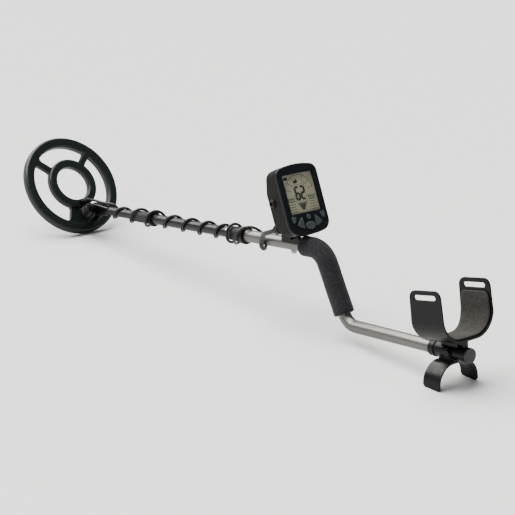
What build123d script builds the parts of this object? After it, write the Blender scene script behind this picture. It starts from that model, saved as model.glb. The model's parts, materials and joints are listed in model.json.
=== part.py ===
"""Hand-held metal detector: search coil, telescoping stem, control box, grip, arm cradle and stand.

Everything lies in the mid plane of the detector or is placed from it. Lengths along the stem are
counted from the bend above the grip: x runs back along the front stem's axis, z runs up from it, and
"left" is the user's left. The whole detector is pitched so that the coil's heel and the stand's feet
rest on z = 0.
"""

from build123d import *
import math
import os

# ---- Driving dimensions (millimetres and degrees) ----
pitch = 7.7  # how far the front stem falls towards the coil when the detector stands on a floor

upper_od = 22.2  # seven-eighths of an inch tube
middle_od = 19.5
lower_od = 16.8
tube_wall = 1.2
tube_play = 0.15  # radial clearance between telescoping tubes

grip_slope = 66.5  # the grip section falls this much below the front stem's axis
grip_length = 136.1  # bend centre to bend centre
rear_slope = 1.6
rear_length = 284.6  # from the lower bend to the outer face of the end cap
upper_bend_radius = 40.0
lower_bend_radius = 30.0

upper_front = -214.0  # front end of each tube, and its hidden back end
middle_front = -500.0
middle_back = -95.0
lower_front = -606.0
lower_back = -236.0

coil_od = 204.0  # an eight inch coil
coil_ring = 20.0  # radial width of the outer ring
coil_x = -736.4
coil_z = 37.8
coil_lean = 59.6  # angle from the stem's forward direction up to the coil's toe
ring_half = 9.5  # half the ring's thickness
rim_fillet = 6.0
pivot_x = -657.0
pivot_z = -1.5

display_x = -49.1  # centre of the display, and the lean of the control box's face
display_z = 92.9
face_lean = 17.6


def sin(angle):
    return math.sin(math.radians(angle))


def cos(angle):
    return math.cos(math.radians(angle))


# ---- The frame ----
# The coil's lowest point is on its heel: the lower outer edge of the rounded rim.
toe_rise = coil_lean - pitch
rim_centre = coil_od / 2 - coil_ring / 2
rim_flat = coil_ring / 2 - rim_fillet
rim_wall = ring_half - rim_fillet
rim_drop = rim_flat * sin(toe_rise) + rim_wall * cos(toe_rise) + rim_fillet
coil_height = coil_x * sin(pitch) + coil_z * cos(pitch)
bend_height = rim_centre * sin(toe_rise) + rim_drop - coil_height
bend_forward = 224.4  # puts the origin under the middle of the overall length

stem_back = Vector(cos(pitch), 0, sin(pitch))
stem_up = Vector(-sin(pitch), 0, cos(pitch))
left = Vector(0, -1, 0)
right = Vector(0, 1, 0)
side = Plane(origin=(bend_forward, 0, bend_height), x_dir=stem_back, z_dir=left)


def heading(angle):
    """Unit direction in the mid plane, from straight back along the stem towards up."""
    return stem_back * cos(angle) + stem_up * sin(angle)


def at(x, z, to_left=0.0):
    """A point from its distance back, up and to the left of the upper bend."""
    return side.from_local_coords(Vector(x, z, to_left))


def section(x, z=0.0, angle=0.0):
    """Plane across the stem: local x to the right, local y up, its normal along the heading."""
    return Plane(origin=at(x, z), x_dir=right, z_dir=heading(angle))


def mid_plane(x, z, angle, to_left=0.0):
    """Plane beside the mid plane: local x along the heading, its normal to the left."""
    return Plane(origin=at(x, z, to_left), x_dir=heading(angle), z_dir=left)


lower_bend_x = grip_length * cos(grip_slope)
lower_bend_z = -grip_length * sin(grip_slope)
rear_side = mid_plane(lower_bend_x, lower_bend_z, -rear_slope)
coil_plane = Plane(origin=at(coil_x, coil_z), x_dir=heading(-coil_lean), z_dir=heading(90 - coil_lean))
coil_side = mid_plane(coil_x, coil_z, -coil_lean)
face = Plane(origin=at(display_x, display_z), x_dir=right, z_dir=heading(face_lean))
face_side = mid_plane(display_x, display_z, face_lean)  # local x out of the face, local y up it


def rear_point(t, h, to_left=0.0):
    return rear_side.from_local_coords(Vector(t, h, to_left))


def rear_section(t, h=0.0, tilt=0.0):
    """Plane across the rear tube at distance t behind the lower bend, h above its axis."""
    return Plane(origin=rear_point(t, h), x_dir=right, z_dir=heading(tilt - rear_slope))


def face_point(across, up, out):
    return face.from_local_coords(Vector(across, up, out))


def face_plane(across=0.0, up=0.0, out=0.0):
    return Plane(origin=face_point(across, up, out), x_dir=right, z_dir=heading(face_lean))


cross_bolt_t = 246.0  # the armrest's bolt, behind the lower bend
cross_bolt_r = 2.5
bracket_bolt_x = -75.0
bolt_plane = Plane(origin=rear_point(cross_bolt_t, 0), x_dir=heading(-rear_slope), z_dir=left)

os.makedirs("parts", exist_ok=True)


def write(part, label):
    part.label = label
    export_step(part, f"parts/{label}.step")


# ---- Stem tubes ----
rear_end = rear_point(rear_length - 4.0, 0)
tube_route = [
    (upper_front, 0),
    (0, 0),
    (lower_bend_x, lower_bend_z),
    side.to_local_coords(rear_end),
]
tube_route[3] = (tube_route[3].X, tube_route[3].Y)

with BuildPart() as upper_stem:
    with BuildLine(side) as upper_route:
        FilletPolyline(tube_route, radius=[upper_bend_radius, lower_bend_radius])
    with BuildSketch(section(upper_front)):
        Circle(upper_od / 2)
        Circle(upper_od / 2 - tube_wall, mode=Mode.SUBTRACT)
    sweep(path=upper_route.wires()[0])
    # holes for the armrest's cross bolt and the control box's bolt
    with BuildSketch(bolt_plane):
        Circle(cross_bolt_r + 0.1)
    extrude(amount=upper_od, both=True, mode=Mode.SUBTRACT)
    with BuildSketch(section(bracket_bolt_x, 0, 90)):
        Circle(cross_bolt_r + 0.1)
    extrude(amount=upper_od, both=True, mode=Mode.SUBTRACT)
write(upper_stem.part, "upper_stem")

with BuildPart() as middle_stem:
    with BuildSketch(section(middle_front)):
        Circle(middle_od / 2)
        Circle(middle_od / 2 - tube_wall, mode=Mode.SUBTRACT)
    extrude(amount=middle_back - middle_front)
    # the snap button's hole, up and to the left
    button_x = -248.0
    button_axis = (stem_up + left).normalized()
    button_plane = Plane(origin=at(button_x, 0), x_dir=stem_back, z_dir=button_axis)
    with BuildSketch(button_plane):
        Circle(3.6)
    extrude(amount=middle_od, mode=Mode.SUBTRACT)
write(middle_stem.part, "middle_stem")

lower_bore = lower_od / 2 - 1.5
with BuildPart() as lower_stem:
    with BuildSketch(section(lower_front)):
        Circle(lower_od / 2)
        Circle(lower_bore, mode=Mode.SUBTRACT)
    extrude(amount=lower_back - lower_front)
    with BuildSketch(button_plane):
        Circle(3.6)
    extrude(amount=middle_od, mode=Mode.SUBTRACT)
write(lower_stem.part, "lower_stem")

button_flange = lower_bore - 2.0  # the flange's upper face, above the stem's axis
with BuildPart() as snap_button:
    with BuildSketch(button_plane.offset(button_flange - 1.2)):
        Circle(4.1)
    extrude(amount=1.2)
    with BuildSketch(button_plane.offset(button_flange)):
        Circle(3.2)
    extrude(amount=middle_od / 2 - button_flange + 1.8)
    fillet(snap_button.faces().sort_by(SortBy.DISTANCE).last.edges(), 1.4)
write(snap_button.part, "snap_button")

# A leaf bent back on itself inside the tube, pushing the button out
with BuildPart() as snap_spring:
    spring_side = Plane(origin=at(button_x, 0), x_dir=stem_back, z_dir=stem_back.cross(button_axis))
    reach = button_flange - 1.25
    with BuildSketch(spring_side):
        with BuildLine() as leaf:
            FilletPolyline(
                [(6, reach - 0.4), (-5, reach - 0.4), (-42, 0), (-46, -2.2), (-40, -3.4), (2, -lower_bore + 1.4)],
                radius=[4, 6, 1.2, 1.2],
            )
        trace(line_width=0.7)
    extrude(amount=2.2, both=True)
write(snap_spring.part, "snap_spring")


# ---- Lock collars ----
# Each is a twist nut: a cupped flange ring at the back, a fluted tapering sleeve in front.
def lock_collar(back, ring, nose, ring_r, sleeve_back_r, sleeve_front_r, bores, flutes):
    """bores lists (from x, to x, back radius, front radius), back to front."""
    with BuildPart() as collar:
        with BuildSketch(side):
            with BuildLine():
                Polyline(
                    (nose, 0),
                    (nose, sleeve_front_r - 1.0),
                    (nose + 1.0, sleeve_front_r),
                    (back - ring, sleeve_back_r),
                    (back - ring, ring_r - 0.8),
                    (back - ring + 0.8, ring_r),
                    (back - 0.8, ring_r),
                    (back, ring_r - 0.8),
                    (back, 0),
                    close=True,
                )
            make_face()
        revolve(axis=Axis(at(0, 0), stem_back))
        for start, end, back_r, front_r in bores:
            with BuildSketch(side):
                with BuildLine():
                    Polyline((start, 0), (start, back_r), (end, front_r), (end, 0), close=True)
                make_face()
            revolve(axis=Axis(at(0, 0), stem_back), mode=Mode.SUBTRACT)
        # the cup in the back of the flange
        with BuildSketch(section(back)):
            Circle(ring_r - 1.8)
            Circle(bores[0][2] + 1.4, mode=Mode.SUBTRACT)
        extrude(amount=-(ring - 2.6), mode=Mode.SUBTRACT)
        # gripping flutes along the sleeve
        flute_r = 0.9
        with BuildSketch(section(nose - 1.0)):
            with PolarLocations(sleeve_front_r + flute_r - 0.45, flutes):
                Circle(flute_r)
        extrude(amount=back - ring - nose - 1.0, mode=Mode.SUBTRACT)
    return collar.part


def split_bush(back, front, bore, back_r, front_r):
    """Tapered compression ring with a slot, so that it can close on the inner tube."""
    with BuildPart() as bush:
        with BuildSketch(side):
            with BuildLine():
                Polyline((back, bore), (back, back_r), (front, front_r), (front, bore), close=True)
            make_face()
        revolve(axis=Axis(at(0, 0), stem_back))
        with BuildSketch(section(front - 1.0)):
            with Locations((0, -back_r)):
                Rectangle(1.6, back_r * 1.2)
        extrude(amount=back - front + 2.0, mode=Mode.SUBTRACT)
    return bush.part


collar_play = 0.1
upper_collar_back = -199.0
upper_collar_nose = -244.0
upper_bores = [
    (upper_collar_back, upper_front, upper_od / 2 + collar_play, upper_od / 2 + collar_play),
    (upper_front, -238.0, 11.9, 11.3),
    (-238.0, upper_collar_nose - 1, middle_od / 2 + 0.35, middle_od / 2 + 0.35),
]
upper_lock_collar = lock_collar(upper_collar_back, 10.0, upper_collar_nose, 16.0, 14.0, 12.6, upper_bores, 26)
write(upper_lock_collar, "upper_lock_collar")
upper_collar_bush = split_bush(upper_front - 0.2, -237.6, middle_od / 2 + 0.1, 11.55, 11.0)
write(upper_collar_bush, "upper_collar_bush")

lower_collar_back = -467.0
lower_collar_nose = -533.0
lower_bores = [
    (lower_collar_back, -525.0, middle_od / 2 + collar_play, middle_od / 2 + collar_play),
    (-525.0, lower_collar_nose - 1, lower_od / 2 + 0.35, lower_od / 2 + 0.35),
]
lower_lock_collar = lock_collar(lower_collar_back, 9.0, lower_collar_nose, 14.25, 11.4, 11.0, lower_bores, 24)
write(lower_lock_collar, "lower_lock_collar")
lower_collar_bush = split_bush(middle_front - 0.2, -524.6, lower_od / 2 + 0.1, 9.5, 9.2)
write(lower_collar_bush, "lower_collar_bush")

# ---- Stem tip: the moulded eye that the coil pivots on ----
tip_half = 8.0  # half the eye's thickness
eye_r = 13.0
pivot_r = 4.0
pivot_side = mid_plane(pivot_x, pivot_z, 0)
with BuildPart() as stem_tip:
    with BuildSketch(side.offset(-tip_half)):
        with Locations((pivot_x, pivot_z)):
            Circle(eye_r)
        with Locations((lower_front - 3.0, 0)):
            Rectangle(2.0, 2 * tip_half)
        make_hull()
    extrude(amount=2 * tip_half)
    fillet(stem_tip.faces().filter_by(Axis.Y).edges(), 2.2)
    with BuildSketch(section(lower_front - 6.0)):
        Circle(lower_od / 2)
    extrude(amount=6.0)
    with BuildSketch(section(lower_front)):
        Circle(lower_bore - 0.05)
    extrude(amount=24.0)
    # a triangular pocket in each cheek
    for cheek in (tip_half, -tip_half):
        with BuildSketch(side.offset(cheek)):
            with BuildLine():
                Polyline(
                    (lower_front - 8.0, 0),
                    (pivot_x + eye_r + 2.0, eye_r - 5.6),
                    (pivot_x + eye_r + 2.0, -eye_r + 4.0),
                    close=True,
                )
            make_face()
            fillet(vertices(), 1.2)
        extrude(amount=-math.copysign(4.5, cheek), mode=Mode.SUBTRACT)
    with BuildSketch(pivot_side):
        Circle(pivot_r + 0.08)
    extrude(amount=2 * tip_half, both=True, mode=Mode.SUBTRACT)
write(stem_tip.part, "stem_tip")

# ---- Search coil ----
inner_outer_r = 52.0
inner_inner_r = 35.0
hub_half = 8.0  # the hub's ring sits higher than the rim
hub_rise = 6.0
spoke_half = 5.25
spoke_rise = 3.75
spoke_width = 14.0
spoke_angle = 46.0  # each side of the toe
flare_r = 9.0  # rounding of the windows' corners
flare_bury = 2.5  # the flares start this deep inside the rings
flare_lower = 1.2
web_half_angle = 26.0
ear_in = 9.4
ear_thick = 5.0
pivot_local = coil_side.to_local_coords(at(pivot_x, pivot_z))
pivot_heel = pivot_local.X
pivot_rise = pivot_local.Y
cover_depth = 3.0
cover_gap = 0.05


hub_centre = (inner_outer_r + inner_inner_r) / 2
hub_ring = inner_outer_r - inner_inner_r
coil_axis = Axis(at(coil_x, coil_z), heading(90 - coil_lean))


def coil_radial(angle, radius, rise):
    """Plane across a spoke: its normal runs outwards at the angle, counted from the heel."""
    out = coil_plane.x_dir * cos(angle) + coil_plane.y_dir * sin(angle)
    foot = coil_plane.origin + out * radius + coil_plane.z_dir * rise
    return Plane(origin=foot, x_dir=coil_plane.z_dir.cross(out), z_dir=out)


window_outer_r = coil_od / 2 - coil_ring + flare_bury
window_inner_r = inner_outer_r - flare_bury
flare_half = spoke_width / 2 - 0.6


def window_cut(start, start_half, end, end_half):
    """Opening between two spokes, given each one's angle and half width there."""

    def corner(radius, angle):
        return (radius * cos(angle), radius * sin(angle))

    middle = (start + end) / 2
    outer_start = start + math.degrees(math.asin(start_half / window_outer_r))
    inner_start = start + math.degrees(math.asin(start_half / window_inner_r))
    outer_end = end - math.degrees(math.asin(end_half / window_outer_r))
    inner_end = end - math.degrees(math.asin(end_half / window_inner_r))
    with BuildLine() as opening:
        ThreePointArc(
            corner(window_outer_r, outer_start), corner(window_outer_r, middle), corner(window_outer_r, outer_end)
        )
        Line(corner(window_outer_r, outer_end), corner(window_inner_r, inner_end))
        ThreePointArc(
            corner(window_inner_r, inner_end), corner(window_inner_r, middle), corner(window_inner_r, inner_start)
        )
        Line(corner(window_inner_r, inner_start), corner(window_outer_r, outer_start))
        fillet(opening.vertices(), flare_r)
    make_face(opening.edges(), mode=Mode.SUBTRACT)


# closing strips under the windings: radius, underside and half width
cover_strips = ((rim_centre, -ring_half, 5.0), (hub_centre, hub_rise - hub_half, 4.5))


def strip_sketch(radius, half):
    Circle(radius + half)
    Circle(radius - half, mode=Mode.SUBTRACT)


with BuildPart() as coil_shell:
    # the two rings
    with BuildSketch(coil_side):
        with Locations((rim_centre, 0)):
            RectangleRounded(coil_ring, 2 * ring_half, rim_fillet)
        with Locations((hub_centre, hub_rise)):
            RectangleRounded(hub_ring, 2 * hub_half, 4.5)
    revolve(axis=coil_axis)
    # the front spokes
    for angle in (180 - spoke_angle, 180 + spoke_angle):
        with BuildSketch(coil_radial(angle, hub_centre, spoke_rise)):
            RectangleRounded(spoke_width, 2 * spoke_half, 4.0)
        extrude(amount=rim_centre - hub_centre)
    # the heel web, and flares where it and the spokes meet the rings
    with BuildSketch(coil_plane.offset(spoke_rise - spoke_half + flare_lower)):
        Circle(window_outer_r + 2.0)
        Circle(window_inner_r - 2.0, mode=Mode.SUBTRACT)
        window_cut(web_half_angle, 0, 180 - spoke_angle, flare_half)
        window_cut(180 - spoke_angle, flare_half, 180 + spoke_angle, flare_half)
        window_cut(180 + spoke_angle, flare_half, 360 - web_half_angle, 0)
    extrude(amount=2 * spoke_half - flare_lower - 0.6)
    # the ears
    for inner_face, thick in ((ear_in, ear_thick), (-ear_in, -ear_thick)):
        with BuildSketch(coil_side.offset(inner_face)):
            with Locations((pivot_heel, pivot_rise)):
                Circle(eye_r)
            with Locations((pivot_heel - 1.0, 2.0)):
                Rectangle(36.0, 2.0)
            make_hull()
        extrude(amount=thick)
    with BuildSketch(mid_plane(pivot_x, pivot_z, 0)):
        Circle(pivot_r + 0.05)
    extrude(amount=2 * (ear_in + ear_thick), both=True, mode=Mode.SUBTRACT)
    # channels for the windings and the seats of the closing strips
    for radius, underside, half in cover_strips:
        with BuildSketch(coil_plane.offset(underside)):
            strip_sketch(radius, half + cover_gap)
        extrude(amount=cover_depth + cover_gap, mode=Mode.SUBTRACT)
    with BuildSketch(coil_side):
        with Locations((rim_centre, -1.4)):
            Rectangle(9.6, 10.2)
        with Locations((hub_centre, hub_rise - 1.2)):
            Rectangle(8.0, 7.6)
    revolve(axis=coil_axis, mode=Mode.SUBTRACT)
write(coil_shell.part, "coil_shell")

for name, (radius, underside, half) in zip(("rim_bottom_cover", "hub_bottom_cover"), cover_strips):
    with BuildPart() as coil_cover:
        with BuildSketch(coil_plane.offset(underside)):
            strip_sketch(radius, half)
        extrude(amount=cover_depth)
    write(coil_cover.part, name)

for name, radius, wire_r, rise in (
    ("transmit_winding", rim_centre, 4.4, -1.7),
    ("receive_winding", hub_centre, 3.4, hub_rise - 1.4),
):
    with BuildPart() as winding:
        with BuildSketch(coil_side):
            with Locations((radius, rise)):
                Circle(wire_r)
        revolve(axis=coil_axis)
    write(winding.part, name)

# ---- Coil pivot: washers, bolt and knob ----
with BuildPart() as friction_washers:
    for start, amount in ((tip_half + 0.08, 1.2), (-tip_half - 0.08, -1.2)):
        with BuildSketch(pivot_side.offset(start)):
            Circle(10.5)
            Circle(pivot_r + 0.15, mode=Mode.SUBTRACT)
        extrude(amount=amount)
write(friction_washers.part, "friction_washers")

ear_out = ear_in + ear_thick
knob_r = 11.0
knob_thick = 11.0
with BuildPart() as clevis_bolt:
    with BuildSketch(pivot_side.offset(-ear_out - 0.05)):
        Circle(9.0)
    extrude(amount=-1.4)
    with BuildSketch(pivot_side.offset(-ear_out - 1.45)):
        RegularPolygon(7.5, 6)
    extrude(amount=-5.3)
    with BuildSketch(pivot_side.offset(-ear_out - 0.05)):
        Circle(pivot_r)
    extrude(amount=2 * ear_out + 0.05 + knob_thick - 2.0)
write(clevis_bolt.part, "clevis_bolt")

with BuildPart() as clevis_knob:
    with BuildSketch(pivot_side.offset(ear_out + 0.3)):
        Circle(knob_r)
        with PolarLocations(knob_r + 1.1, 14):
            Circle(1.7, mode=Mode.SUBTRACT)
    extrude(amount=knob_thick)
    fillet(clevis_knob.faces().sort_by(Axis(pivot_side.origin, left)).last.edges(), 1.0)
    with BuildSketch(pivot_side.offset(ear_out + 0.3)):
        Circle(pivot_r + 0.06)
    extrude(amount=knob_thick - 2.0, mode=Mode.SUBTRACT)
write(clevis_knob.part, "clevis_knob")

# ---- Cable gland on the coil's hub, leaning back towards the stem ----
gland_x = -706.2
gland_z = 7.8
gland_lean = 12.0
gland_length = 28.0
cable_r = 2.5
with BuildPart() as coil_gland:
    with BuildSketch(mid_plane(gland_x, gland_z, gland_lean)):
        with BuildLine():
            Polyline(
                (0, cable_r),
                (0, 6.2),
                (6.5, 6.2),
                (6.5, 5.2),
                (gland_length - 2.0, 3.6),
                (gland_length, 3.2),
                (gland_length, cable_r),
                close=True,
            )
        make_face()
    revolve(axis=Axis(at(gland_x, gland_z), heading(gland_lean)))
    add(coil_shell.part, mode=Mode.SUBTRACT)
write(coil_gland.part, "coil_gland")

# ---- Grip ----
grip_od = 36.5
grip_front = -47.0
grip_foot = grip_length - lower_bend_radius * math.tan(math.radians((grip_slope - rear_slope) / 2)) - 0.1
with BuildPart() as foam_grip:
    with BuildLine(side) as grip_route:
        FilletPolyline(
            [(grip_front, 0), (0, 0), (grip_foot * cos(grip_slope), -grip_foot * sin(grip_slope))],
            radius=[upper_bend_radius],
        )
    with BuildSketch(section(grip_front)):
        Circle(grip_od / 2)
        Circle(upper_od / 2 + 0.02, mode=Mode.SUBTRACT)
    sweep(path=grip_route.wires()[0])
write(foam_grip.part, "foam_grip")

# ---- Rear end: cap, sleeve, cradle, pad, stand ----
sleeve_front = 200.0
sleeve_back = rear_length - 4.0
sleeve_r = 13.0
with BuildPart() as rod_end_cap:
    with BuildSketch(rear_section(sleeve_back + 0.05)):
        Circle(sleeve_r - 0.2)
    extrude(amount=3.95)
    fillet(rod_end_cap.faces().sort_by(Axis(rear_point(0, 0), heading(-rear_slope))).last.edges(), 1.2)
    with BuildSketch(rear_section(sleeve_back + 0.05)):
        Circle(upper_od / 2 - tube_wall - 0.05)
    extrude(amount=-12.0)
write(rod_end_cap.part, "rod_end_cap")

cradle_front = 215.0
cradle_length = 71.0
cradle_tilt = 7.0
cradle_wall = 3.2
cradle_half = 58.5
cradle_floor = 17.0  # underside of the cradle above the rear tube's axis, at its front end
cradle_top = 107.5
cradle_curve = 42.0
pad_thick = 4.0
screw_seat = 1.4  # the cradle's screw heads sit this far above its underside
saddle_half = 7.0
post_t = 273.0
stand_front = 221.0
stand_length = 36.0
stand_half = 45.3
stand_wall = 3.2
stand_top = 13.4  # the stand's upper face below the rear tube's axis


def cradle_floor_at(t):
    """Height of the cradle's underside above the rear tube's axis."""
    return cradle_floor + (t - cradle_front) * math.tan(math.radians(cradle_tilt))


with BuildPart() as armrest_sleeve:
    with BuildSketch(rear_section(sleeve_front)):
        Circle(sleeve_r)
    extrude(amount=sleeve_back - sleeve_front)
    # thicker collar at the front
    with BuildSketch(rear_section(sleeve_front)):
        Circle(sleeve_r + 1.6)
    extrude(amount=13.0)
    fillet(armrest_sleeve.faces().sort_by(Axis(rear_point(0, 0), heading(-rear_slope))).first.edges(), 2.4)
    # pedestal and rear post under the cradle
    for start, end, half in ((226.0, 262.0, saddle_half), (post_t - 2.0, post_t + 2.0, 4.0)):
        with BuildSketch(rear_side.offset(-half)):
            with BuildLine():
                Polyline(
                    (start, 0),
                    (start, cradle_floor_at(start) - 0.05),
                    (end, cradle_floor_at(end) - 0.05),
                    (end, 0),
                    close=True,
                )
            make_face()
        extrude(amount=2 * half)
    # flat foot for the stand
    with BuildSketch(rear_side.offset(-9.0)):
        with BuildLine():
            Polyline(
                (stand_front + 1, 0),
                (stand_front + 1, -stand_top + 0.05),
                (stand_front + stand_length - 1, -stand_top + 0.05),
                (stand_front + stand_length - 1, 0),
                close=True,
            )
        make_face()
    extrude(amount=18.0)
    with BuildSketch(rear_side.offset(0)):
        with Locations((cross_bolt_t, 0)):
            Circle(8.0)
    extrude(amount=sleeve_r + 1.0)
    with BuildSketch(rear_section(sleeve_front - 1)):
        Circle(upper_od / 2 + 0.05)
    extrude(amount=sleeve_back - sleeve_front + 2, mode=Mode.SUBTRACT)
    with BuildSketch(rear_side):
        with Locations((cross_bolt_t, 0)):
            Circle(2.6)
    extrude(amount=2 * sleeve_r, both=True, mode=Mode.SUBTRACT)
    # pilot holes for the cradle and stand screws
    for t in (234.0, 254.0):
        with BuildSketch(rear_section(t, sleeve_r + 1, 90)):
            Circle(1.6)
        extrude(amount=20.0, mode=Mode.SUBTRACT)
    for t in (230.0, 248.0):
        with BuildSketch(rear_section(t, -sleeve_r - 2.0, 90)):
            Circle(1.6)
        extrude(amount=3.4, mode=Mode.SUBTRACT)
write(armrest_sleeve.part, "armrest_sleeve")


def trough_sketch(inset, wall, top):
    """Upright U in a plane across the rear tube: wall is measured inwards from the inset."""
    mid = inset + wall / 2
    with BuildLine() as trough:
        FilletPolyline(
            [
                (-cradle_half + mid, top),
                (-cradle_half + mid, mid),
                (cradle_half - mid, mid),
                (cradle_half - mid, top),
            ],
            radius=[cradle_curve - mid, cradle_curve - mid],
        )
    trace(trough.line, line_width=wall)


cradle_plane = rear_section(cradle_front, cradle_floor, cradle_tilt)
cradle_side = Plane(
    origin=rear_point(cradle_front, cradle_floor), x_dir=heading(cradle_tilt - rear_slope), z_dir=left
)
plate_top = cradle_top - cradle_floor
slot_centre = plate_top - 11.5
slot_length = 48.0
slot_height = 8.4
with BuildPart() as armrest_cradle:
    with BuildSketch(cradle_plane):
        trough_sketch(0, cradle_wall, plate_top)
    extrude(amount=cradle_length)
    # rounded upper corners, and a waist where the trough meets the sleeve
    with BuildSketch(cradle_side):
        with BuildLine():
            FilletPolyline(
                [
                    (5.0, -1),
                    (0, 30.0),
                    (2.5, plate_top),
                    (cradle_length - 1.0, plate_top),
                    (cradle_length, 34.0),
                    (cradle_length - 3.0, -1),
                ],
                radius=[30, 13, 13, 30],
                close=False,
            )
            Line((cradle_length - 3.0, -1), (5.0, -1))
        make_face()
    extrude(amount=2 * cradle_half, both=True, mode=Mode.INTERSECT)
    # strap slots
    with BuildSketch(cradle_side):
        with Locations((cradle_length / 2 + 0.3, slot_centre)):
            SlotOverall(slot_length, slot_height)
    extrude(amount=2 * cradle_half, both=True, mode=Mode.SUBTRACT)
    # counterbored screw holes in the floor
    for t in (234.0, 254.0):
        with BuildSketch(rear_section(t, cradle_floor_at(t) - 4, 90)):
            Circle(1.8)
        extrude(amount=12.0, mode=Mode.SUBTRACT)
        with BuildSketch(rear_section(t, cradle_floor_at(t) + screw_seat, 90)):
            Circle(3.3)
        extrude(amount=6.0, mode=Mode.SUBTRACT)
write(armrest_cradle.part, "armrest_cradle")

with BuildPart() as cradle_screws:
    for t in (234.0, 254.0):
        head_at = cradle_floor_at(t) + screw_seat + 0.02
        with BuildSketch(rear_section(t, head_at, 90)):
            Circle(3.0)
        extrude(amount=1.3)
        with BuildSketch(rear_section(t, head_at, 90)):
            Circle(1.5)
        extrude(amount=-6.5)
write(cradle_screws.part, "cradle_screws")

pad_gap = 0.35
pad_top = slot_centre - 9.0
with BuildPart() as armrest_pad:
    with BuildSketch(cradle_plane):
        trough_sketch(cradle_wall + pad_gap, pad_thick, pad_top)
    extrude(amount=cradle_length)
    with BuildSketch(cradle_side):
        with BuildLine():
            FilletPolyline(
                [
                    (9.0, 0),
                    (4.0, 34.0),
                    (5.0, pad_top),
                    (cradle_length - 4.0, pad_top),
                    (cradle_length - 3.5, 34.0),
                    (cradle_length - 6.0, 0),
                ],
                radius=[30, 12, 12, 30],
                close=False,
            )
            Line((cradle_length - 6.0, 0), (9.0, 0))
        make_face()
    extrude(amount=2 * cradle_half, both=True, mode=Mode.INTERSECT)
write(armrest_pad.part, "armrest_pad")

stand_reach = 66.0  # past the floor, where the legs are cut off level
with BuildPart() as stand:
    with BuildSketch(rear_section(stand_front)):
        edge = stand_half - stand_wall / 2
        crown = -stand_top - stand_wall / 2
        with BuildLine():
            FilletPolyline(
                [(-edge, -stand_reach), (-edge, crown), (edge, crown), (edge, -stand_reach)],
                radius=[33.0, 33.0],
            )
        trace(line_width=stand_wall)
    extrude(amount=stand_length)
    for t in (230.0, 248.0):
        with BuildSketch(rear_section(t, -stand_top + 2, 90)):
            Circle(1.8)
        extrude(amount=-8.0, mode=Mode.SUBTRACT)
    split(bisect_by=Plane.XY, keep=Keep.TOP)
    feet = stand.faces().sort_by(Axis.Z)[:2]
    chamfer(feet.edges().filter_by(Axis.Y), 3.5)
write(stand.part, "stand")

with BuildPart() as stand_screws:
    for t in (230.0, 248.0):
        head_at = -stand_top - stand_wall - 0.05
        with BuildSketch(rear_section(t, head_at, 90)):
            Circle(3.0)
        extrude(amount=-1.6)
        with BuildSketch(rear_section(t, head_at, 90)):
            Circle(1.5)
        extrude(amount=5.0)
write(stand_screws.part, "stand_screws")

# Cross bolt through the sleeve and the tube, with its nut on the right
with BuildPart() as armrest_bolt:
    with BuildSketch(bolt_plane.offset(sleeve_r + 1.1)):
        Circle(6.6)
    extrude(amount=3.2)
    fillet(armrest_bolt.faces().sort_by(Axis.Y).first.edges(), 1.4)
    with BuildSketch(bolt_plane.offset(sleeve_r + 1.1)):
        Circle(2.5)
    extrude(amount=-2 * sleeve_r - 7.5)
write(armrest_bolt.part, "armrest_bolt")

with BuildPart() as armrest_nut:
    with BuildSketch(bolt_plane.offset(-sleeve_r - 0.1)):
        RegularPolygon(4.6, 6)
        Circle(2.55, mode=Mode.SUBTRACT)
    extrude(amount=-4.0)
write(armrest_nut.part, "armrest_nut")

# ---- Control box ----
box_half = 46.5
box_shoulder = 44.5  # height of the top edge at the sides, and at its crown
box_crown = 51.5
box_hip = -67.0
box_foot = -73.6
bezel_out = 3.0  # the bezel's front, in front of the display
bezel_back = -4.0
bezel_wall = 2.5
gasket_thick = 1.0
shell_front = bezel_back - gasket_thick
shell_wall = 2.4
box_depth = -36.5
pillars = [(-37.5, 38.5), (37.5, 38.5), (-29.0, -63.5), (29.0, -63.5)]
pillar_r = 3.5
out_axis = Axis(face.origin, face.z_dir)


def box_sketch(inset):
    half = box_half - inset
    with BuildLine() as outline:
        ThreePointArc((-half, box_shoulder - inset), (0, box_crown - inset), (half, box_shoulder - inset))
        Line((half, box_shoulder - inset), (half, box_hip + inset))
        ThreePointArc((half, box_hip + inset), (0, box_foot + inset), (-half, box_hip + inset))
        Line((-half, box_hip + inset), (-half, box_shoulder - inset))
    make_face(outline.edges())
    fillet(vertices().group_by(Axis.Y)[-1], 14.0 - inset)
    fillet(vertices().group_by(Axis.Y)[0], 20.0 - inset)


def box_profile(inset):
    """Side view of the back shell: deepest in the middle, thinner at the top and the bottom."""
    with BuildLine() as profile:
        Polyline(
            (shell_front, 60),
            (-20.5 + inset, 60),
            (box_depth + inset, 12),
            (box_depth + inset, -43 + 0.4 * inset),
            (-13.5 + 1.15 * inset, -76),
            (-13.5 + 1.15 * inset, -85),
            (shell_front, -85),
            close=True,
        )
    make_face(profile.edges())


# Key caps: each outline is drawn on the face, from its corners or its radii
corner_key = [(4.8, 4.3), (-4.4, 5.4), (-4.8, -1.8), (-2.6, -6.8), (2.0, -4.9)]
arrow_key = [(7.0, 10.2), (7.8, -10.2), (-3.4, -6.2), (-6.6, -2.4), (1.6, 6.4)]
keys = {
    "key_menu": ("corner", -32.3, -43.0, 1),
    "key_power": ("corner", 32.3, -43.0, -1),
    "key_minus": ("arrow", -21.0, -51.0, 1),
    "key_plus": ("arrow", 21.0, -51.0, -1),
    "key_mode": ("round", 0.6, -42.6, 1),
    "key_pinpoint": ("oval", 0.6, -57.8, 1),
}


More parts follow.
